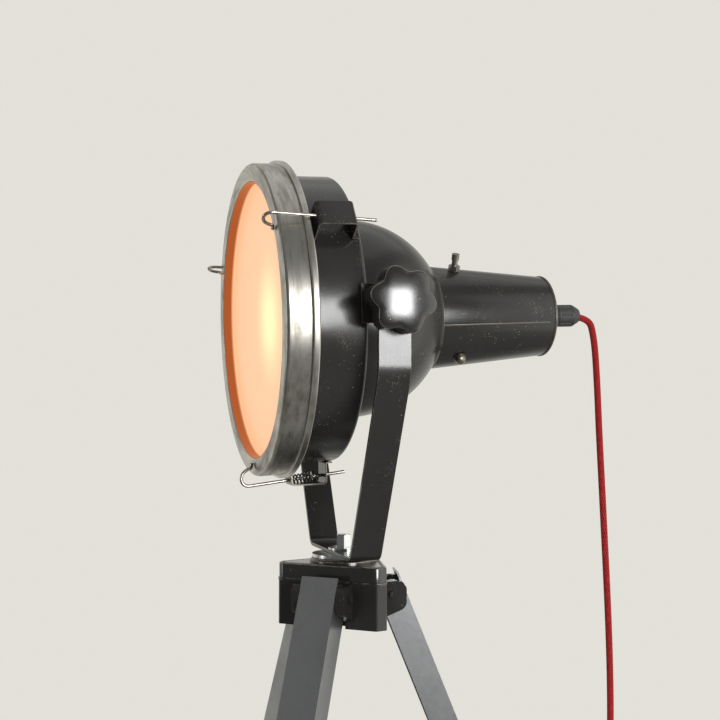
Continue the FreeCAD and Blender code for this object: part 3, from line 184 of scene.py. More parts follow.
# %% Group: turned lines
turned_lines, given, out = new_group("Turned lines", [("Vector", "Vector"), ("Scale", "Float")],
                                     ["Lines", "Streaks"])
parts = add(turned_lines, "SeparateXYZ", {0: given["Vector"]}).outputs
flat = add(turned_lines, "CombineXYZ", {0: parts[0], 1: parts[2]}).outputs[0]
reach = add(turned_lines, "VectorMath", {0: flat}, operation="LENGTH").outputs["Value"]
direction = add(turned_lines, "VectorMath", {0: flat}, operation="NORMALIZE").outputs[0]
heading = add(turned_lines, "SeparateXYZ", {0: direction})
for label, tightness, drift in (("Lines", 1.0, 1.6), ("Streaks", 0.12, 5.0)):
    density = sum_of(turned_lines, "MULTIPLY", given["Scale"], tightness)
    across = sum_of(turned_lines, "MULTIPLY", reach, density)
    along = sum_of(turned_lines, "MULTIPLY", parts[1], density)
    east = sum_of(turned_lines, "ADD", across, sum_of(turned_lines, "MULTIPLY", heading.outputs[0], drift))
    north = sum_of(turned_lines, "MULTIPLY", heading.outputs[1], drift)
    spot = add(turned_lines, "CombineXYZ", {0: east, 1: along, 2: north}).outputs[0]
    turned_lines.links.new(noise(turned_lines, spot, 1.0, 4.0, 0.6), out[label])
print("turned lines group ready")

# %% [markdown]
# The cord is covered with braided yarn. Two families of strands cross as diagonals: seen flat, one climbs to
# the right and one to the left. The UV map of the tube counts strands round and along the cord, and the
# group returns the height of the upper strand at each point and a slow change of tone.

# %% Group: braid
braid, given, out = new_group("Braid", [("Vector", "Vector"), ("Round", "Float"), ("Along", "Float")],
                              ["Height", "Tone"])
parts = add(braid, "SeparateXYZ", {0: given["Vector"]}).outputs
first = sum_of(braid, "MULTIPLY", parts[1], given["Round"])
second = sum_of(braid, "MULTIPLY", parts[0], given["Along"])
right = sum_of(braid, "PINGPONG", sum_of(braid, "ADD", first, second), 0.5)
left = sum_of(braid, "PINGPONG", sum_of(braid, "SUBTRACT", first, second), 0.5)
braid.links.new(sum_of(braid, "MULTIPLY", sum_of(braid, "MAXIMUM", right, left), 2.0), out["Height"])
spot = add(braid, "CombineXYZ", {0: first, 1: second, 2: 0.0}).outputs[0]
braid.links.new(noise(braid, spot, 0.9, 2.0), out["Tone"])
print("braid group ready")

# %% [markdown]
# A painted finish mixes black paint with the bare steel under it. The masks choose between the two colours,
# and the same masks raise Metallic and Roughness, so a worn edge also shines like steel. The glossy moulding
# has a hard lacquer, so it mirrors a little more light than plain paint does.

# %% Painted finishes
BARE = (0.30, 0.265, 0.21, 1)
DUST = (0.36, 0.34, 0.30, 1)
SPECKS_PER_METRE = 760.0
WORN_ROUGHNESS = 0.5
LACQUER_IOR = 1.75


def new_material(name):
    material = bpy.data.materials.new(name)
    material.use_nodes = True
    tree = material.node_tree
    return material, tree, tree.nodes["Principled BSDF"], add(tree, "TexCoord").outputs["Object"]


def painted(name, colour, smooth, rough_to, specks, scuffs, edges, peel=0.06):
    material, tree, shader, spot = new_material(name)
    seen = use(tree, marks, {"Vector": spot, "Speck Scale": SPECKS_PER_METRE, "Specks": specks, "Scuffs": scuffs})
    wear = add(tree, "Attribute", attribute_name="wear").outputs["Fac"]
    edge = use(tree, worn, {"Wear": wear, "Vector": spot, "Amount": edges})[0]
    bare = sum_of(tree, "MAXIMUM", edge, sum_of(tree, "MULTIPLY", seen["Scuffs"], 0.6), clamp=True)
    pale = tuple(min(1, c * 1.8 + 0.003) for c in colour[:3]) + (1,)
    base = mixed(tree, seen["Blotch"], colour, pale)
    base = mixed(tree, bare, base, BARE)
    tree.links.new(mixed(tree, seen["Specks"], base, DUST), shader.inputs["Base Color"])
    tree.links.new(sum_of(tree, "MULTIPLY", bare, 0.9), shader.inputs["Metallic"])
    gloss = between(tree, seen["Blotch"], smooth, rough_to)
    gloss = between(tree, sum_of(tree, "MAXIMUM", bare, seen["Specks"]), gloss, WORN_ROUGHNESS)
    tree.links.new(gloss, shader.inputs["Roughness"])
    height = noise(tree, spot, 420.0, 3.0)
    bump = add(tree, "Bump", {"Strength": peel, "Distance": 0.0006, "Height": height})
    tree.links.new(bump.outputs[0], shader.inputs["Normal"])
    return material


black_paint = painted("worn black paint", (0.0110, 0.0103, 0.0092, 1), 0.15, 0.32, 0.16, 1.5, 1.0)
gloss_black = painted("glossy black moulding", (0.0085, 0.008, 0.007, 1), 0.14, 0.24, 0.08, 0.35, 1.0, 0.03)
matt_black = painted("matt black plastic", (0.020, 0.020, 0.019, 1), 0.42, 0.60, 0.12, 0.2, 0.0, 0.15)
rubber = painted("black rubber", (0.018, 0.017, 0.016, 1), 0.60, 0.80, 0.35, 0.3, 0.0, 0.2)
for node in gloss_black.node_tree.nodes:
    if node.type == "BSDF_PRINCIPLED":
        node.inputs["IOR"].default_value = LACQUER_IOR
print("painted finishes:", black_paint.name, gloss_black.name, matt_black.name, rubber.name)

# %% [markdown]
# The front ring is raw turned steel, stained by oil and fingers. It takes its lines from the shared group,
# with the pattern centred on the lamp's axis by a Mapping node, and brown stains dull it in places.

# %% Metal finishes
def head_mapping(tree, spot):
    """Undo HEAD, so that the pattern is centred on the lamp's own axis."""
    undo = HEAD.inverted()
    return add(tree, "Mapping", {"Vector": spot, "Location": tuple(undo.translation),
                                 "Rotation": tuple(undo.to_euler())}).outputs[0]


def metal(name, colour, stain, smooth, rough_to, lines=0.0, grain=300.0, lift=0.12):
    material, tree, shader, spot = new_material(name)
    shader.inputs["Metallic"].default_value = 1.0
    if lines:
        field = use(tree, turned_lines, {"Vector": head_mapping(tree, spot), "Scale": lines})
        texture, streaks = field["Lines"], field["Streaks"]
    else:
        texture = noise(tree, spot, grain, 4.0, 0.6)
        streaks = noise(tree, spot, grain * 0.07, 3.0)
    smudge = ramp(tree, noise(tree, spot, 19.0, 5.0, 0.65), 0.42, 0.72)
    patchy = ramp(tree, streaks, 0.36, 0.68) if lines else streaks
    dull = sum_of(tree, "MULTIPLY", sum_of(tree, "ADD", smudge, patchy), 0.5, clamp=True)
    base = mixed(tree, dull, colour, stain)
    dark = tuple(c * 0.72 for c in colour[:3]) + (1,)
    base = mixed(tree, sum_of(tree, "MULTIPLY", ramp(tree, texture, 0.5, 0.8), 0.6), base, dark)
    wear = add(tree, "Attribute", attribute_name="wear").outputs["Fac"]
    bright = tuple(min(1, c * 1.35) for c in colour[:3]) + (1,)
    tree.links.new(mixed(tree, sum_of(tree, "MULTIPLY", wear, 0.7), base, bright), shader.inputs["Base Color"])
    gloss = between(tree, sum_of(tree, "MULTIPLY", sum_of(tree, "ADD", dull, texture), 0.5), smooth, rough_to)
    tree.links.new(gloss, shader.inputs["Roughness"])
    bump = add(tree, "Bump", {"Strength": lift, "Distance": 0.0004, "Height": texture})
    tree.links.new(bump.outputs[0], shader.inputs["Normal"])
    return material


raw_steel = metal("raw turned steel", (0.50, 0.485, 0.44, 1), (0.10, 0.082, 0.06, 1), 0.24, 0.44,
                  lines=1100.0, lift=0.2)
zinc = metal("zinc plated steel", (0.80, 0.83, 0.82, 1), (0.50, 0.50, 0.45, 1), 0.14, 0.34, lift=0.3)
clip_steel = metal("tarnished wire", (0.40, 0.375, 0.33, 1), (0.17, 0.15, 0.12, 1), 0.22, 0.45)
aluminium = metal("drawn aluminium", (0.50, 0.51, 0.515, 1), (0.32, 0.325, 0.33, 1), 0.24, 0.42,
                  grain=180.0, lift=0.05)
spring_steel = metal("oiled spring steel", (0.17, 0.16, 0.145, 1), (0.07, 0.06, 0.05, 1), 0.28, 0.5)
brass = metal("nickelled brass", (0.66, 0.56, 0.36, 1), (0.36, 0.28, 0.15, 1), 0.2, 0.42)
print("metal finishes:", raw_steel.name, zinc.name, clip_steel.name, spring_steel.name, aluminium.name,
      brass.name)

# %% [markdown]
# The front glass is frosted and lit from behind by a warm bulb. The frost spreads the light over the whole
# glass, so it is drawn as its own glow: peach all over, yellow-white in front of the bulb, a little deeper
# towards the rim. A faint grain keeps it from looking flat. The gasket's glow is painted light from the bulb
# too, deep amber and paler towards the glass, so its spread counts only along the lamp's axis.

# %% Glass, bulb and porcelain
def glowing(name, edge_colour, middle, hot, centre, spread, strength, gloss):
    material, tree, shader, spot = new_material(name)
    local = head_mapping(tree, spot)
    offset = add(tree, "VectorMath", {0: local, 1: centre}, operation="SUBTRACT").outputs[0]
    scaled = add(tree, "VectorMath", {0: offset, 1: spread}, operation="MULTIPLY").outputs[0]
    away = add(tree, "VectorMath", {0: scaled}, operation="LENGTH").outputs["Value"]
    glow = sum_of(tree, "POWER", sum_of(tree, "SUBTRACT", 1.0, ramp(tree, away, 0.0, 1.0)), 1.6)
    grain = sum_of(tree, "MULTIPLY", sum_of(tree, "SUBTRACT", noise(tree, spot, 650.0, 2.0), 0.5), 0.07)
    rim = add(tree, "VectorMath", {0: local, 1: (1, 0, 1)}, operation="MULTIPLY").outputs[0]
    rim = add(tree, "VectorMath", {0: rim}, operation="LENGTH").outputs["Value"]
    body = mixed(tree, ramp(tree, rim, 0.085, 0.140), middle, edge_colour)
    tint = mixed(tree, sum_of(tree, "ADD", glow, grain, clamp=True), body, hot)
    tree.links.new(tint, shader.inputs["Emission Color"])
    shader.inputs["Emission Strength"].default_value = strength
    shader.inputs["Base Color"].default_value = (0.10, 0.06, 0.035, 1)
    shader.inputs["Roughness"].default_value = gloss
    bump = add(tree, "Bump", {"Strength": 0.1, "Distance": 0.0005, "Height": noise(tree, spot, 900.0, 2.0)})
    tree.links.new(bump.outputs[0], shader.inputs["Normal"])
    return material


frosted = glowing("lit frosted glass", (0.96, 0.50, 0.265, 1), (0.96, 0.535, 0.305, 1), (1.0, 0.96, 0.50, 1),
                  (0.040, -0.083, -0.002), (13.0, 13.0, 11.5), 0.97, 0.45)
# The gasket's emission is painted light: the bulb's glow, deep amber in front and paler near the glass.
amber = glowing("amber gasket", (0.40, 0.065, 0.002, 1), (0.40, 0.065, 0.002, 1), (0.95, 0.47, 0.24, 1),
                (0, -0.0851, 0), (0.0, 340.0, 0.0), 0.85, 0.4)
bulb_glass = glowing("lit bulb", (1, 0.6, 0.3, 1), (1, 0.66, 0.36, 1), (1, 0.86, 0.6, 1),
                     (0, -0.03, 0), (30.0, 30.0, 30.0), 1.0, 0.2)
porcelain = painted("porcelain", (0.62, 0.60, 0.55, 1), 0.12, 0.25, 0.05, 0.1, 0.0, 0.04)
print("lit finishes:", frosted.name, bulb_glass.name)

# %% [markdown]
# Braided yarn is soft: it has no hard shine, only a faint sheen at grazing angles. Painted shade darkens its
# colour in the gaps between the strands, where the braid is low. Height and tone come from the braid group,
# counted over the tube's own UV map.

# %% Braided cord finish
STRANDS_ROUND = 8.0
STRAND_PITCH = 0.0036


def textile(name, length):
    material, tree, shader, _ = new_material(name)
    route = add(tree, "UVMap", uv_map="UVMap").outputs[0]
    yarn = use(tree, braid, {"Vector": route, "Round": STRANDS_ROUND, "Along": length / STRAND_PITCH})
    # Painted shade: the colour is darker where the braid's height is low, between the strands.
    base = mixed(tree, ramp(tree, yarn["Height"], 0.35, 0.95), (0.10, 0.004, 0.005, 1), (0.40, 0.012, 0.012, 1))
    faded = sum_of(tree, "MULTIPLY", ramp(tree, yarn["Tone"], 0.45, 0.75), 0.5)
    base = mixed(tree, faded, base, (0.50, 0.03, 0.025, 1))
    tree.links.new(base, shader.inputs["Base Color"])
    tree.links.new(between(tree, yarn["Height"], 0.9, 0.68), shader.inputs["Roughness"])
    shader.inputs["Sheen Weight"].default_value = 0.08
    shader.inputs["Specular IOR Level"].default_value = 0.2
    bump = add(tree, "Bump", {"Strength": 0.8, "Distance": 0.0006, "Height": yarn["Height"]})
    tree.links.new(bump.outputs[0], shader.inputs["Normal"])
    return material


print("strands round the cord:", int(STRANDS_ROUND))

# %% [markdown]
# The cord is one soft line: it leaves the gland, hangs to the floor, and is put away in a coil of a few
# turns behind the lamp with its plug beside it. A NURBS curve through a handful of control points hangs
# smoothly. A bevel makes the tube, and the curve without its bevel gives the points that the tube follows.
# The clips' wires are made by the same helper.

# %% Curve and cord helpers
CORD_DIAMETER = 7 * MM


def nurbs_route(name, points, resolution):
    """Points are in millimetres. The result is an object that holds the curve, linked to nothing."""
    curve = bpy.data.curves.new(name, "CURVE")
    curve.dimensions = "3D"
    route = curve.splines.new("NURBS")
    route.points.add(len(points) - 1)
    for knot, point in zip(route.points, points):
        knot.co = (point[0] * MM, point[1] * MM, point[2] * MM, 1)
    route.order_u = 3
    route.use_endpoint_u = True
    route.resolution_u = resolution
    return bpy.data.objects.new(name + "_route", curve)


def tube_mesh(holder, radius):
    holder.data.bevel_depth = radius
    holder.data.bevel_resolution = 4
    holder.data.use_fill_caps = True
    return bpy.data.meshes.new_from_object(holder)


def cord_tube(name, points, resolution):
    holder = nurbs_route(name, points, resolution)
    line = bpy.data.meshes.new_from_object(holder)
    path = [tuple(vertex.co) for vertex in line.vertices]
    length = sum((Vector(b) - Vector(a)).length for a, b in zip(path, path[1:]))
    mesh = tube_mesh(holder, CORD_DIAMETER / 2)
    piece = bpy.data.objects.new(name, mesh)
    scene.collection.objects.link(piece)
    bpy.data.objects.remove(holder)
    mesh.materials.clear()
    mesh.materials.append(textile("red braid " + name, length))
    print(name, "is %.3f m long, %d points" % (length, len(path)))
    return piece, path, length


# %% Hanging cord
upper_points = [(0, 236, 1403.24), (0, 269.5, 1404.41), (0, 276.5, 1381), (0, 279.5, 1336), (0, 281.5, 1282),
                (0, 284.5, 1222), (0, 288, 1150)]
middle_points = [(0, 288, 1150), (0, 291.4, 1080), (2, 292, 985), (0, 290, 888), (-3, 292, 790), (-1, 290, 690),
                 (2, 291.5, 590), (0, 290, 490), (-2, 292, 392), (0, 290.5, 300), (1, 289, 215), (0, 290, 140)]
cord_high, path, length = cord_tube("cord_hanging_upper", upper_points, 16)
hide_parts("cord_upper")
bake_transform(cord_high)
cord_mid, path, length = cord_tube("cord_hanging_middle", middle_points, 16)
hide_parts("cord_middle")
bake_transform(cord_mid)

# %% [markdown]
# On the floor the cord turns away in one wide bend and is wound into a flat coil: five half turns inwards,
# one that climbs on top, and five outwards again. Each half turn adds eight control points, a little outside
# its circle, because a NURBS line cuts inside its corners.

# %% Cord on the floor
floor_points = [(0, 290, 140), (-0.7, 290.7, 87.5), (0, 292, 46.5), (-1, 306, 22.3), (-4, 338, 4.2),
                (-14, 389, 4.2), (-48, 424, 4.2), (-100, 437, 4.2), (-146, 437, 4.2)]
COIL_X = -153
HALF_TURNS = [46, 42, 38, 34, 30, 26, 30, 34, 38, 42, 46]
CLIMB = HALF_TURNS.index(min(HALF_TURNS))
STEPS = 8
step_angle = math.pi / STEPS
place = 437.0
for number, radius in enumerate(HALF_TURNS):
    side = -1 if number % 2 == 0 else 1
    centre = place + side * radius
    reach = radius / math.cos(step_angle / 2)
    for step in range(STEPS):
        turn = step_angle * (step + 0.5)
        rise = 4.2 + 8 * min(max(number - CLIMB + (step + 0.5) / STEPS, 0), 1)
        floor_points.append((COIL_X + side * reach * math.sin(turn), centre - side * reach * math.cos(turn), rise))
    place = centre + side * radius
floor_points += [(-146, 337, 12.2), (-104, 337, 12.2), (-72, 318, 15.5), (-58, 280, 19.0)]
cord_floor, path, length = cord_tube("cord_floor_coil", floor_points, 8)
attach(cord_floor, "stand")
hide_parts("cord_lower", "cord_coil", "cord_end")

# %% [markdown]
# Turned and folded sheet is drawn from its profile. A few vertices make the profile, a vertex bevel rounds
# each corner that has a radius, and spin sweeps it round the axis. finish_piece then stores the wear of the
# edges, gives the sheet its shading, and hangs the piece on the body that carries it.

# %% Modelling helpers
def profile_chain(bm, corners, closed=False):
    """Join corners of (place, radius[, rounding]) in millimetres into a chain in the XY plane."""
    chain = [bm.verts.new((corner[1] * MM, corner[0] * MM, 0)) for corner in corners]
    pairs = list(zip(chain, chain[1:])) + ([(chain[-1], chain[0])] if closed else [])
    for pair in pairs:
        bm.edges.new(pair)
    for vertex, corner in zip(chain, corners):
        if len(corner) > 2:
            bmesh.ops.bevel(bm, geom=[vertex], offset=corner[2] * MM, offset_type="OFFSET", segments=6, profile=0.5,
                            affect="VERTICES", material=-1)


def lathe(corners, closed=False, steps=160, angle=360.0, start=0.0):
    bm = bmesh.new()
    profile_chain(bm, corners, closed)
    if start:
        bmesh.ops.rotate(bm, verts=bm.verts, cent=(0, 0, 0), matrix=Matrix.Rotation(math.radians(start), 3, "Y"))
    full = angle >= 360
    bmesh.ops.spin(bm, geom=bm.verts[:] + bm.edges[:], cent=(0, 0, 0), axis=(0, 1, 0), angle=math.radians(angle),
                   steps=steps, use_merge=full)
    bmesh.ops.remove_doubles(bm, verts=bm.verts, dist=1e-6)
    bmesh.ops.recalc_face_normals(bm, faces=bm.faces)
    return bm


SHARPEST_BEND = 900.0


def mark_wear(bm):
    """Store how sharply the surface bends outwards at each vertex, from 0 to 1 at SHARPEST_BEND radians a metre."""
    layer = bm.verts.layers.float.new("wear")
    for edge in bm.edges:
        if len(edge.link_faces) != 2:
            continue
        one, two = (face.calc_center_median() for face in edge.link_faces)
        bend = edge.calc_face_angle_signed(0.0) / max((one - two).length, 1e-5) / SHARPEST_BEND
        for vertex in edge.verts:
            vertex[layer] = max(vertex[layer], min(1.0, bend))


def bevel_sharp(bm, steeper, offset, segments):
    """Round every edge whose faces meet at more than this angle, in radians. The offset is in millimetres."""
    edges = [edge for edge in bm.edges if edge.calc_face_angle(0) > steeper]
    bmesh.ops.bevel(bm, geom=edges, offset=offset * MM, offset_type="OFFSET", segments=segments, profile=0.5,
                    affect="EDGES", material=-1)


def finish_piece(name, bm, body, material, place=None, crease=38):
    if place is not None:
        bmesh.ops.transform(bm, matrix=place, verts=bm.verts)
    mark_wear(bm)
    mesh = bpy.data.meshes.new(name)
    bm.to_mesh(mesh)
    bm.free()
    mesh.shade_smooth()
    mesh.set_sharp_from_angle(angle=math.radians(crease))
    mesh.materials.append(material)
    piece = bpy.data.objects.new(name, mesh)
    scene.collection.objects.link(piece)
    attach(piece, body)
    print(name, "has", len(mesh.polygons), "faces")
    return piece


# %% [markdown]
# The front ring is spun from sheet: a turned-in lip that holds the glass, a flat face, a deep band and a
# small bead that closes over the drum's flange. One closed profile, outside and inside, makes all of it.

# %% Front ring
ring = lathe([(-87, 133.2), (-95.5, 133.2, 1.5), (-95.5, 150.3, 3.5), (-72.5, 150.3, 0.6), (-72.5, 153.3, 1.3),
              (-66, 153.3, 1.3), (-66, 145.5), (-67.2, 145.5), (-67.2, 152.0, 0.8), (-71.2, 152.0, 0.6),
              (-71.2, 149.1, 0.5), (-94.3, 149.1, 2.4), (-94.3, 134.4, 0.5), (-87, 134.4)], closed=True, steps=220)
ring = finish_piece("front_ring", ring, "head", raw_steel, HEAD)
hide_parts("bezel_ring")

# %% [markdown]
# Between the ring's lip and the glass sits an amber gasket. The bulb's light through it is painted on as a
# glow: a deep orange line round the glass that pales towards the glass. Its profile is an L: a sleeve inside
# the lip and a flange on the glass.

# %% Amber gasket
gasket = lathe([(-94.6, 133.0), (-86.8, 133.0), (-86.8, 136.6), (-85.1, 136.6), (-85.1, 132.4), (-94.6, 132.4)],
               closed=True, steps=160)
# The gasket glows with painted light from the bulb and is no lamp itself.
gasket = finish_piece("amber_gasket", gasket, "head", amber, HEAD)
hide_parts("lens_gasket")

# %% [markdown]
# The drum behind it is a short spun cylinder with a soft rear shoulder and a flange under the ring. The dome
# closes the drum: part of a sphere that ends in a neck inside the cone.

# %% Drum and dome
drum = lathe([(-69.3, 147.8), (-69.3, 139, 1.5), (-18, 139, 4.0), (-18, 97.7), (-19.2, 97.7), (-19.2, 137.8, 2.8),
              (-68.1, 137.8, 0.4), (-68.1, 147.8)], closed=True, steps=200)
drum = finish_piece("drum", drum, "head", black_paint, HEAD)
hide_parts("drum_shell")
DOME_RADIUS = 97.5
DOME_CENTRE = 2
rise = [(DOME_CENTRE + DOME_RADIUS * math.sin(math.radians(a)), DOME_RADIUS * math.cos(math.radians(a)))
        for a in range(0, 59, 3)]
dome = lathe([(-20.4, 105.5), (-19.2, 105.5), (-19.2, DOME_RADIUS, 1.0)] + rise
             + [(90, 50.2), (118, 47.7), (118, 46.5), (86, 49.2)])
dome = finish_piece("dome", dome, "head", black_paint, HEAD)
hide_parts("dome_shell")

# %% [markdown]
# The long cone is sheet rolled to a taper and joined along one side, so a fine raised seam runs along it.
# Its front edge stands off the dome. A spun cap with a round boss closes the rear end.

# %% Cone, seam and end cap
CONE_START, CONE_END = 86, 211
CONE_WIDE, CONE_NARROW = 52, 41
SEAM_PROUD = 0.3


def seam_corner(place):
    taper = (CONE_WIDE - CONE_NARROW) / (CONE_END - CONE_START)
    return place, CONE_WIDE - taper * (place - CONE_START) + SEAM_PROUD


cone = lathe([(CONE_START, CONE_WIDE, 0.5), (CONE_END, CONE_NARROW, 0.4), (CONE_END, CONE_NARROW - 1.2),
              (CONE_START, CONE_WIDE - 1.2, 0.4)], closed=True, steps=120)
cone = finish_piece("cone", cone, "head", black_paint, HEAD)
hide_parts("cone_housing")
strip = lathe([seam_corner(86.5), seam_corner(150), seam_corner(205)], steps=3, angle=1.5, start=11.3)
bmesh.ops.solidify(strip, geom=strip.faces[:], thickness=0.8 * MM)
bevel_sharp(strip, 0.8, 0.25, 2)
finish_piece("cone_seam", strip, "head", black_paint, HEAD)
cap = lathe([(203, 39.5), (211, 39.5), (211, 41.8, 0.5), (213.2, 41.8, 1.0), (218, 23, 4), (218, 17, 1.5),
             (222, 15.5, 1.0), (222, 8.1), (217, 8.1), (213, 33.7, 3), (203, 37.7)], closed=True, steps=120)
cap = finish_piece("end_cap", cap, "head", black_paint, HEAD)
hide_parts("cone_end_cap")

# %% [markdown]
# Two clamping knobs hold the head in the yoke. A circle is pushed in and out into six lobes, extruded up the
# wall, and then extruded and shrunk in small steps over a rounded rim and a shallow dome.

# %% Clamping knobs
LOBES = 6
LOBE_TURN = math.radians(-12)
KNOB_TOP = 23.0
DOME_FALL = 0.24


def knob_mesh(side):
    bm = bmesh.new()
    bmesh.ops.create_circle(bm, cap_ends=True, radius=28.5 * MM, segments=144)
    for vertex in bm.verts:
        around = math.atan2(vertex.co.y, vertex.co.x) - LOBE_TURN
        vertex.co *= (24.2 + 5.9 * (0.5 + 0.5 * math.cos(LOBES * around)) ** 0.85) / 28.5
    face = bm.faces[:][0]
    if face.normal.z < 0:
        face.normal_flip()
    size = 1.0
    for scale, below in ((1.0, 5.6), (1.0, 2.1), (1.0, 1.5), (0.97, 0.7), (0.93, 0.25), (0.88, 0.05), (0.75, 0),
                         (0.6, 0), (0.45, 0), (0.3, 0), (0.16, 0), (0.05, 0)):
        face = bmesh.ops.extrude_discrete_faces(bm, faces=[face])["faces"][0]
        for vertex in face.verts:
            vertex.co.xy *= scale / size
            vertex.co.z = (KNOB_TOP - below) * MM - vertex.co.xy.length_squared / DOME_FALL
        size = scale
    bmesh.ops.remove_doubles(bm, verts=bm.verts, dist=1e-7)
    bmesh.ops.recalc_face_normals(bm, faces=bm.faces)
    upright = Matrix(((0, 0, side, 0), (side, 0, 0, 0), (0, 1, 0, 0), (0, 0, 0, 1)))
    shift = Matrix.Translation((side * 161.85 * MM, 0, PIVOT_ABOVE_AXIS))
    bmesh.ops.transform(bm, matrix=shift @ upright, verts=bm.verts)
    return bm


for word, side in (("right", 1), ("left", -1)):
    body = "knob_" + word
    knob = finish_piece(body + "_head", knob_mesh(side), body, gloss_black, HEAD, crease=60)
    collar = bmesh.new()
    bmesh.ops.create_cone(collar, cap_ends=True, segments=64, radius1=20 * MM, radius2=21.5 * MM, depth=5.2 * MM)
    bevel_sharp(collar, 0.8, 0.6, 3)
    place = (PIVOT @ Matrix.Translation((side * 159.45 * MM, 0, 0))
             @ Matrix.Rotation(math.radians(90 * side), 4, "Y"))
    finish_piece(body + "_collar", collar, body, gloss_black, place)
    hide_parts("tilt_knob_" + word)

# %% [markdown]
# Folded flat bar is a chain as well: the chain is its outer face seen from the side, extruded across the
# bar's width and given its thickness. The edges get a small bevel, which catches light and takes the wear.

# %% Flat bar helper
def folded_bar(points, width, thickness, place, rounds, edge=0.4, end=0.0):
    """Points are (x, z) in millimetres along the middle of the bar's wall, and its width runs along Y."""
    bm = bmesh.new()
    chain = [bm.verts.new((x * MM, -width / 2 * MM, z * MM)) for x, z in points]
    for pair in zip(chain, chain[1:]):
        bm.edges.new(pair)
    for vertex, radius in zip(chain, rounds):
        if radius:
            bmesh.ops.bevel(bm, geom=[vertex], offset=radius * MM, offset_type="OFFSET", segments=8, profile=0.5,
                            affect="VERTICES", material=-1)
    made = bmesh.ops.extrude_edge_only(bm, edges=bm.edges[:])
    moved = [item for item in made["geom"] if isinstance(item, bmesh.types.BMVert)]
    bmesh.ops.translate(bm, verts=moved, vec=(0, width * MM, 0))
    bmesh.ops.recalc_face_normals(bm, faces=bm.faces)
    bm.normal_update()
    for vertex in bm.verts:
        vertex.co += vertex.normal * thickness / 2 * MM
    bmesh.ops.solidify(bm, geom=bm.faces[:], thickness=thickness * MM)
    bmesh.ops.recalc_face_normals(bm, faces=bm.faces)
    if end:
        top = max(vertex.co.z for vertex in bm.verts) - 1e-5
        short = 1.5 * thickness * MM
        tips = [e for e in bm.edges if all(v.co.z > top for v in e.verts) and e.calc_length() < short]
        bmesh.ops.bevel(bm, geom=tips, offset=end * MM, offset_type="OFFSET", segments=12, profile=0.5,
                        affect="EDGES", material=-1)
    bevel_sharp(bm, 1.2, edge, 2)
    if place is not None:
        bmesh.ops.transform(bm, matrix=place, verts=bm.verts)
    low = [round(min(v.co[i] for v in bm.verts), 4) for i in range(3)]
    print("bar from", low, "to", [round(max(v.co[i] for v in bm.verts), 4) for i in range(3)])
    return bm


# %% [markdown]
# The yoke is one such bar, bent four times: a short foot on the stand, two arms that open upwards, and two
# straight ends beside the head with round tips.

# %% Yoke
yoke = folded_bar([(-155, 1415), (-155, 1336), (-70, 1166.75), (70, 1166.75), (155, 1336), (155, 1415)],
                  30, 3.5, None, [0, 10, 7, 7, 10, 0], end=14.2)
yoke = finish_piece("yoke_bar", yoke, "yoke_arm", black_paint, crease=20)
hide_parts("yoke")

# %% [markdown]
# On each side of the drum a small lug carries the pivot. It is a plate with a round rear end, and a spacer
# turned from bar keeps the yoke's arm clear of it. The clamping knob runs on the stud inside the spacer.

# %% Pivot lugs
for word, side in (("right", 1), ("left", -1)):
    lug = bmesh.new()
    bmesh.ops.create_cube(lug, size=1)
    bmesh.ops.scale(lug, verts=lug.verts, vec=(3 * MM, 43.5 * MM, 35 * MM))
    rear = [e for e in lug.edges
            if all(v.co.y > 0.02 for v in e.verts) and abs(e.verts[0].co.x - e.verts[1].co.x) > 0.001]
    bmesh.ops.bevel(lug, geom=rear, offset=17 * MM, offset_type="OFFSET", segments=14, profile=0.5, affect="EDGES",
                    material=-1)
    bevel_sharp(lug, 1.2, 0.4, 2)
    bmesh.ops.translate(lug, verts=lug.verts, vec=(side * 140.8 * MM, -4.25 * MM, PIVOT_ABOVE_AXIS))
    lug = finish_piece("pivot_lug_" + word + "_plate", lug, "head", black_paint, HEAD, crease=20)
    spacer = lathe([(142.2, 12.0), (153.1, 12.0, 0.6), (153.1, 4.1), (176, 4.0, 0.5), (176, 0.01)], steps=64)
    place = PIVOT @ Matrix.Rotation(math.radians(-90 * side), 4, "Z")
    finish_piece("pivot_spacer_" + word, spacer, "head", black_paint, place)
    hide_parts("pivot_lug_" + word)

# %% [markdown]
# Three wire clips hold the front ring. Each wire runs through a folded bridge on the drum, and ends in a
# round hook over the ring. A coil spring inside the bridge pushes on a collar and keeps the hook tight. The
# wire is a NURBS curve with a bevel. The spring is a small circle spun with a rise, which makes a helix.

# %% Wire clips
WIRE_RISE, WIRE_RUN = 9.5, 99
WIRE = Vector((0, -WIRE_RUN, WIRE_RISE)).normalized()
SPRING_END = -60.4
SPRING_LENGTH = 22.0
SPRING_WIRE = 0.8


def wire_at(place):
    """A point on the straight part of the wire, which starts 5 mm in front of the head's origin."""
    return Vector((0, place, 150.5 - (place + 5) * WIRE_RISE / WIRE_RUN)) * MM


def clip_wire():
    bends = [(-5, 150.5), (-40, 153.9), (-75, 157.2), (-96, 159.2), (-104, 159.9), (-108.6, 155), (-107.4, 147.5),
             (-101.5, 143.2), (-97.6, 142.5), (-97.3, 137.5)]
    holder = nurbs_route("clip_wire", [(0, place, radius) for place, radius in bends], 10)
    bm = bmesh.new()
    bm.from_mesh(tube_mesh(holder, 1.6 * MM))
    bpy.data.objects.remove(holder)
    bmesh.ops.remove_doubles(bm, verts=bm.verts, dist=1e-6)
    bmesh.ops.recalc_face_normals(bm, faces=bm.faces)
    return bm


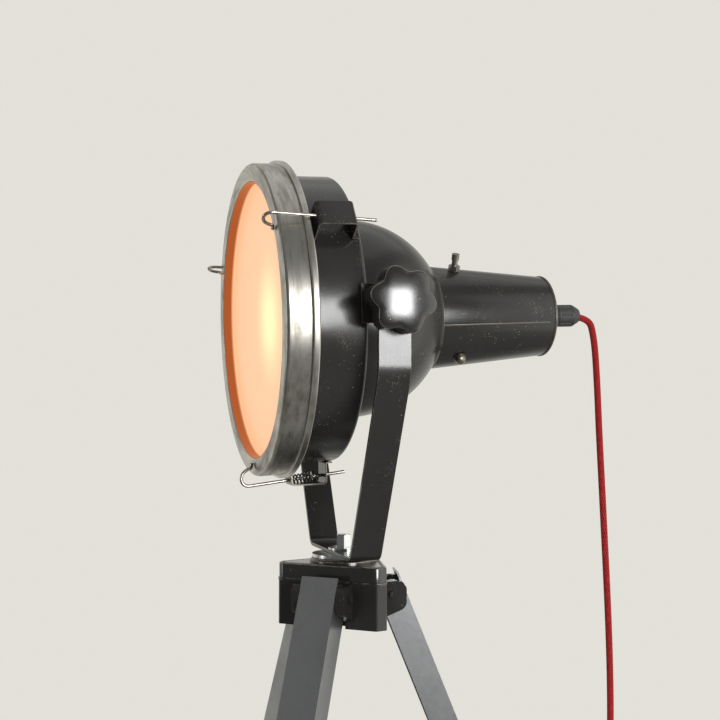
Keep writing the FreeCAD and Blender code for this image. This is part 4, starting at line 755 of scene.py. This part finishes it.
def coil_spring(turns=6):
    bm = bmesh.new()
    bmesh.ops.create_circle(bm, radius=SPRING_WIRE * MM, segments=12)
    bmesh.ops.rotate(bm, verts=bm.verts, cent=(0, 0, 0), matrix=Matrix.Rotation(math.radians(90), 3, "X"))
    bmesh.ops.translate(bm, verts=bm.verts, vec=(4.2 * MM, 0, 0))
    steps = 22 * turns
    bmesh.ops.spin(bm, geom=bm.verts[:] + bm.edges[:], cent=(0, 0, 0), axis=(0, 0, 1), angle=2 * math.pi * turns,
                   steps=steps, dvec=(0, 0, (SPRING_LENGTH - 2 * SPRING_WIRE) * MM / steps), use_merge=False)
    bmesh.ops.remove_doubles(bm, verts=bm.verts, dist=1e-6)
    bmesh.ops.holes_fill(bm, edges=[e for e in bm.edges if e.is_boundary], sides=0)
    bmesh.ops.recalc_face_normals(bm, faces=bm.faces)
    bmesh.ops.translate(bm, verts=bm.verts, vec=(0, 0, SPRING_WIRE * MM))
    return bm


for number, angle in enumerate((32, 155, 270), start=1):
    body = "clip_%d" % number
    place = HEAD @ Matrix.Rotation(math.radians(90 - angle), 4, "Y")
    bridge = folded_bar([(-61.2, 138.4), (-61.2, 160.4), (-26.8, 160.4), (-26.8, 139.9), (-20.5, 139.9)], 26, 1.6,
                        place @ Matrix.Rotation(math.radians(90), 4, "Z"), [0, 3.5, 3.5, 2.0, 0], edge=0.25)
    bridge = finish_piece("clip_bridge_%d" % number, bridge, "head", black_paint, crease=20)
    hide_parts("clip_bracket_%d" % number)
    wire = finish_piece("clip_wire_%d" % number, clip_wire(), body, clip_steel, place)
    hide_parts("clip_hook_%d" % number)
    anchor = wire_at(SPRING_END)
    aim = place @ Matrix.Translation(anchor) @ (-WIRE).to_track_quat("Z", "X").to_matrix().to_4x4()
    spring = finish_piece("clip_coil_%d" % number, coil_spring(), "head", spring_steel, aim)
    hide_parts("clip_spring_%d" % number)
    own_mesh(spring)
    collar = lathe([(22.1, 1.5), (22.1, 5.0, 0.5), (25, 5.0, 0.5), (25, 1.5)], closed=True, steps=40)
    finish_piece("clip_collar_%d" % number, collar, body, clip_steel,
                 aim @ Matrix.Rotation(math.radians(90), 4, "X"))

# %% [markdown]
# The tripod's head is a moulded cover: a triangle with cut corners, deep rounded sides, a shallow groove
# round its top and a lip below, and on it a round boss that the yoke turns on. A circle of three corners
# becomes all of that: two vertex bevels cut and round the corners, extrusions raise it, and insets make the
# groove.

# %% Hub cover
HUB_TOP = 1156.9
HUB_HEIGHT = 17
FIRST_CORNER = math.radians(18)


def hub_cover():
    bm = bmesh.new()
    bmesh.ops.create_circle(bm, cap_ends=True, radius=75.4 * MM, segments=3)
    corner = math.atan2(bm.verts[:][0].co.y, bm.verts[:][0].co.x)
    bmesh.ops.rotate(bm, verts=bm.verts, cent=(0, 0, 0), matrix=Matrix.Rotation(FIRST_CORNER - corner, 3, "Z"))
    for cut, segments in ((13.2, 1), (4.5, 6)):
        bmesh.ops.bevel(bm, geom=bm.verts[:], offset=cut * MM, offset_type="OFFSET", segments=segments, profile=0.5,
                        affect="VERTICES", material=-1)
    top = bm.faces[:][0]
    if top.normal.z < 0:
        top.normal_flip()
    for lift, spread in ((0, 0), (2.4, 0), (0.6, -0.9), (12.2, 0.0), (1.0, -0.35), (0.6, -0.9)):
        top = bmesh.ops.extrude_discrete_faces(bm, faces=[top])["faces"][0]
        for vertex in top.verts:
            vertex.co.z += lift * MM
            vertex.co.xy *= 1 + spread * MM / vertex.co.xy.length
    bmesh.ops.remove_doubles(bm, verts=bm.verts, dist=1e-6)
    for width, depth in ((2.6, 0.2), (0.5, -0.9), (0.9, 0.0), (0.5, 0.9)):
        bmesh.ops.inset_region(bm, faces=[top], thickness=width * MM, depth=depth * MM, use_even_offset=True)
    bmesh.ops.recalc_face_normals(bm, faces=bm.faces)
    return bm


cover = finish_piece("hub_moulding", hub_cover(), "stand", gloss_black,
                     Matrix.Translation((0, 0, (HUB_TOP - HUB_HEIGHT) * MM)), crease=32)
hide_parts("hub_cover")
boss = lathe([(-0.4, 0.01), (-0.4, 33), (2.6, 33, 1.0), (3.2, 31.6, 0.6), (5, 31.2, 1.2), (5, 0.01)], steps=120)
place = Matrix.Translation((0, 0, HUB_TOP * MM)) @ Matrix.Rotation(math.radians(90), 4, "X")
finish_piece("hub_boss", boss, "stand", gloss_black, place)

# %% [markdown]
# Solids whose shape is already right stay, and only get a better finish. Each one's material slots are
# filled with the finish that the real piece has.

# %% Finishes of the solids that stay
FINISHES = {
    "zinc": (zinc, ["pan_bolt", "pan_nut", "pan_washer_upper", "pan_washer_lower", "lens_retainer",
                    "lampholder_bracket"]),
    "wire": (clip_steel, ["cone_clamp_screw_1", "cone_clamp_screw_2", "cone_clamp_screw_3"]),
    "paint": (black_paint, ["hub_body"]),
    "gloss": (gloss_black, ["plug_body"]),
    "matt": (matt_black, ["gland_body", "gland_nut", "terminal_block", "leg_clamp_1", "leg_clamp_2",
                          "leg_clamp_3"]),
    "rubber": (rubber, ["gland_seal", "leg_foot_1", "leg_foot_2", "leg_foot_3"]),
    "aluminium": (aluminium, ["leg_upper_1", "leg_upper_2", "leg_upper_3", "leg_lower_1", "leg_lower_2",
                              "leg_lower_3", "reflector"]),
    "brass": (brass, ["bulb_cap", "plug_pins"]),
    "lit": (frosted, ["lens_glass"]),
    "bulb": (bulb_glass, ["bulb_globe"]),
    "porcelain": (porcelain, ["lampholder"]),
}
for label, (finish, names) in FINISHES.items():
    for name in names:
        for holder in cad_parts[name].material_slots:
            holder.link = "OBJECT"
            holder.material = finish
    print(label, "finish on", len(names), "solids")

# %% [markdown]
# The stage is a pale floor under a pale sky, and the floor fades out before its edge. A soft window beside the
# camera gives the bright patch on the drum, the knob and the yoke. Weaker lamps stand for a pale side wall,
# for the light in front of the glass and for the ceiling. The sky is pale to the camera. In reflections it is
# dark where the photographer's room was dark and pale behind the lamp, and it lights matt surfaces dimly.

# %% Stage and light
LAMP_MIDDLE = Vector((0, 0, 1.38))
PALE = (0.765, 0.75, 0.69, 1)
floor = bmesh.new()
bmesh.ops.create_circle(floor, cap_ends=True, radius=2.6, segments=96)
mesh = bpy.data.meshes.new("floor")
floor.to_mesh(mesh)
floor.free()
floor = bpy.data.objects.new("floor", mesh)
scene.collection.objects.link(floor)
material, tree, shader, spot = new_material("pale floor")
direct = add(tree, "LightPath").outputs["Is Camera Ray"]
tree.links.new(mixed(tree, direct, (0.30, 0.30, 0.29, 1), (0.74, 0.735, 0.70, 1)), shader.inputs["Base Color"])
shader.inputs["Roughness"].default_value = 0.8
away = add(tree, "VectorMath", {0: spot}, operation="LENGTH").outputs["Value"]
fade = add(tree, "MixShader", {0: ramp(tree, away, 1.2, 2.55), 1: shader.outputs[0],
                               2: add(tree, "BsdfTransparent").outputs[0]})
tree.links.new(fade.outputs[0], tree.nodes["Material Output"].inputs["Surface"])
mesh.materials.append(material)


def soft_lamp(name, azimuth, elevation, distance, width, height, watts):
    lamp = bpy.data.lights.new(name, "AREA")
    lamp.shape = "RECTANGLE"
    lamp.size, lamp.size_y = width, height
    lamp.energy = watts
    holder = bpy.data.objects.new(name, lamp)
    turn, rise = math.radians(azimuth), math.radians(elevation)
    direction = Vector((math.cos(turn) * math.cos(rise), math.sin(turn) * math.cos(rise), math.sin(rise)))
    holder.location = LAMP_MIDDLE + direction * distance
    holder.rotation_euler = (-direction).to_track_quat("-Z", "Y").to_euler()
    scene.collection.objects.link(holder)
    print("lamp", name, "at", [round(c, 2) for c in holder.location])


soft_lamp("window", 14.5, 2.6, 2.2, 0.70, 0.78, 36)
soft_lamp("side wall", 62, 8, 2.6, 2.4, 4.0, 20)
soft_lamp("front fill", -100, 4, 2.4, 0.7, 1.4, 7)
soft_lamp("ceiling", 150, 75, 2.2, 2.4, 2.4, 9)
world = bpy.data.worlds.new("studio")
scene.world = world
world.use_nodes = True
tree = world.node_tree
light_path = add(tree, "LightPath").outputs
seen = sum_of(tree, "MAXIMUM", light_path["Is Camera Ray"],
              sum_of(tree, "MAXIMUM", light_path["Is Glossy Ray"], light_path["Is Transmission Ray"]))
way = add(tree, "SeparateXYZ", {0: add(tree, "TexCoord").outputs["Generated"]}).outputs
behind = sum_of(tree, "ADD", sum_of(tree, "MULTIPLY", way[0], -0.5), sum_of(tree, "MULTIPLY", way[1], 0.86))
beyond = ramp(tree, sum_of(tree, "MULTIPLY", way[0], -1.0), 0.35, 0.9)
paleness = sum_of(tree, "ADD", ramp(tree, behind, -0.25, 0.45), beyond, clamp=True)
mirrored = mixed(tree, paleness, (0.12, 0.12, 0.12, 1), PALE)
mirrored = mixed(tree, ramp(tree, way[2], 0.2, 0.9), mirrored, (0.22, 0.22, 0.21, 1))
mirrored = mixed(tree, light_path["Is Camera Ray"], mirrored, PALE)
dim = add(tree, "Background", {0: (0.48, 0.48, 0.47, 1), 1: 1.0})
pale = add(tree, "Background", {0: mirrored, 1: 1.0})
both = add(tree, "MixShader", {0: seen, 1: dim.outputs[0], 2: pale.outputs[0]})
tree.links.new(both.outputs[0], tree.nodes["World Output"].inputs["Surface"])
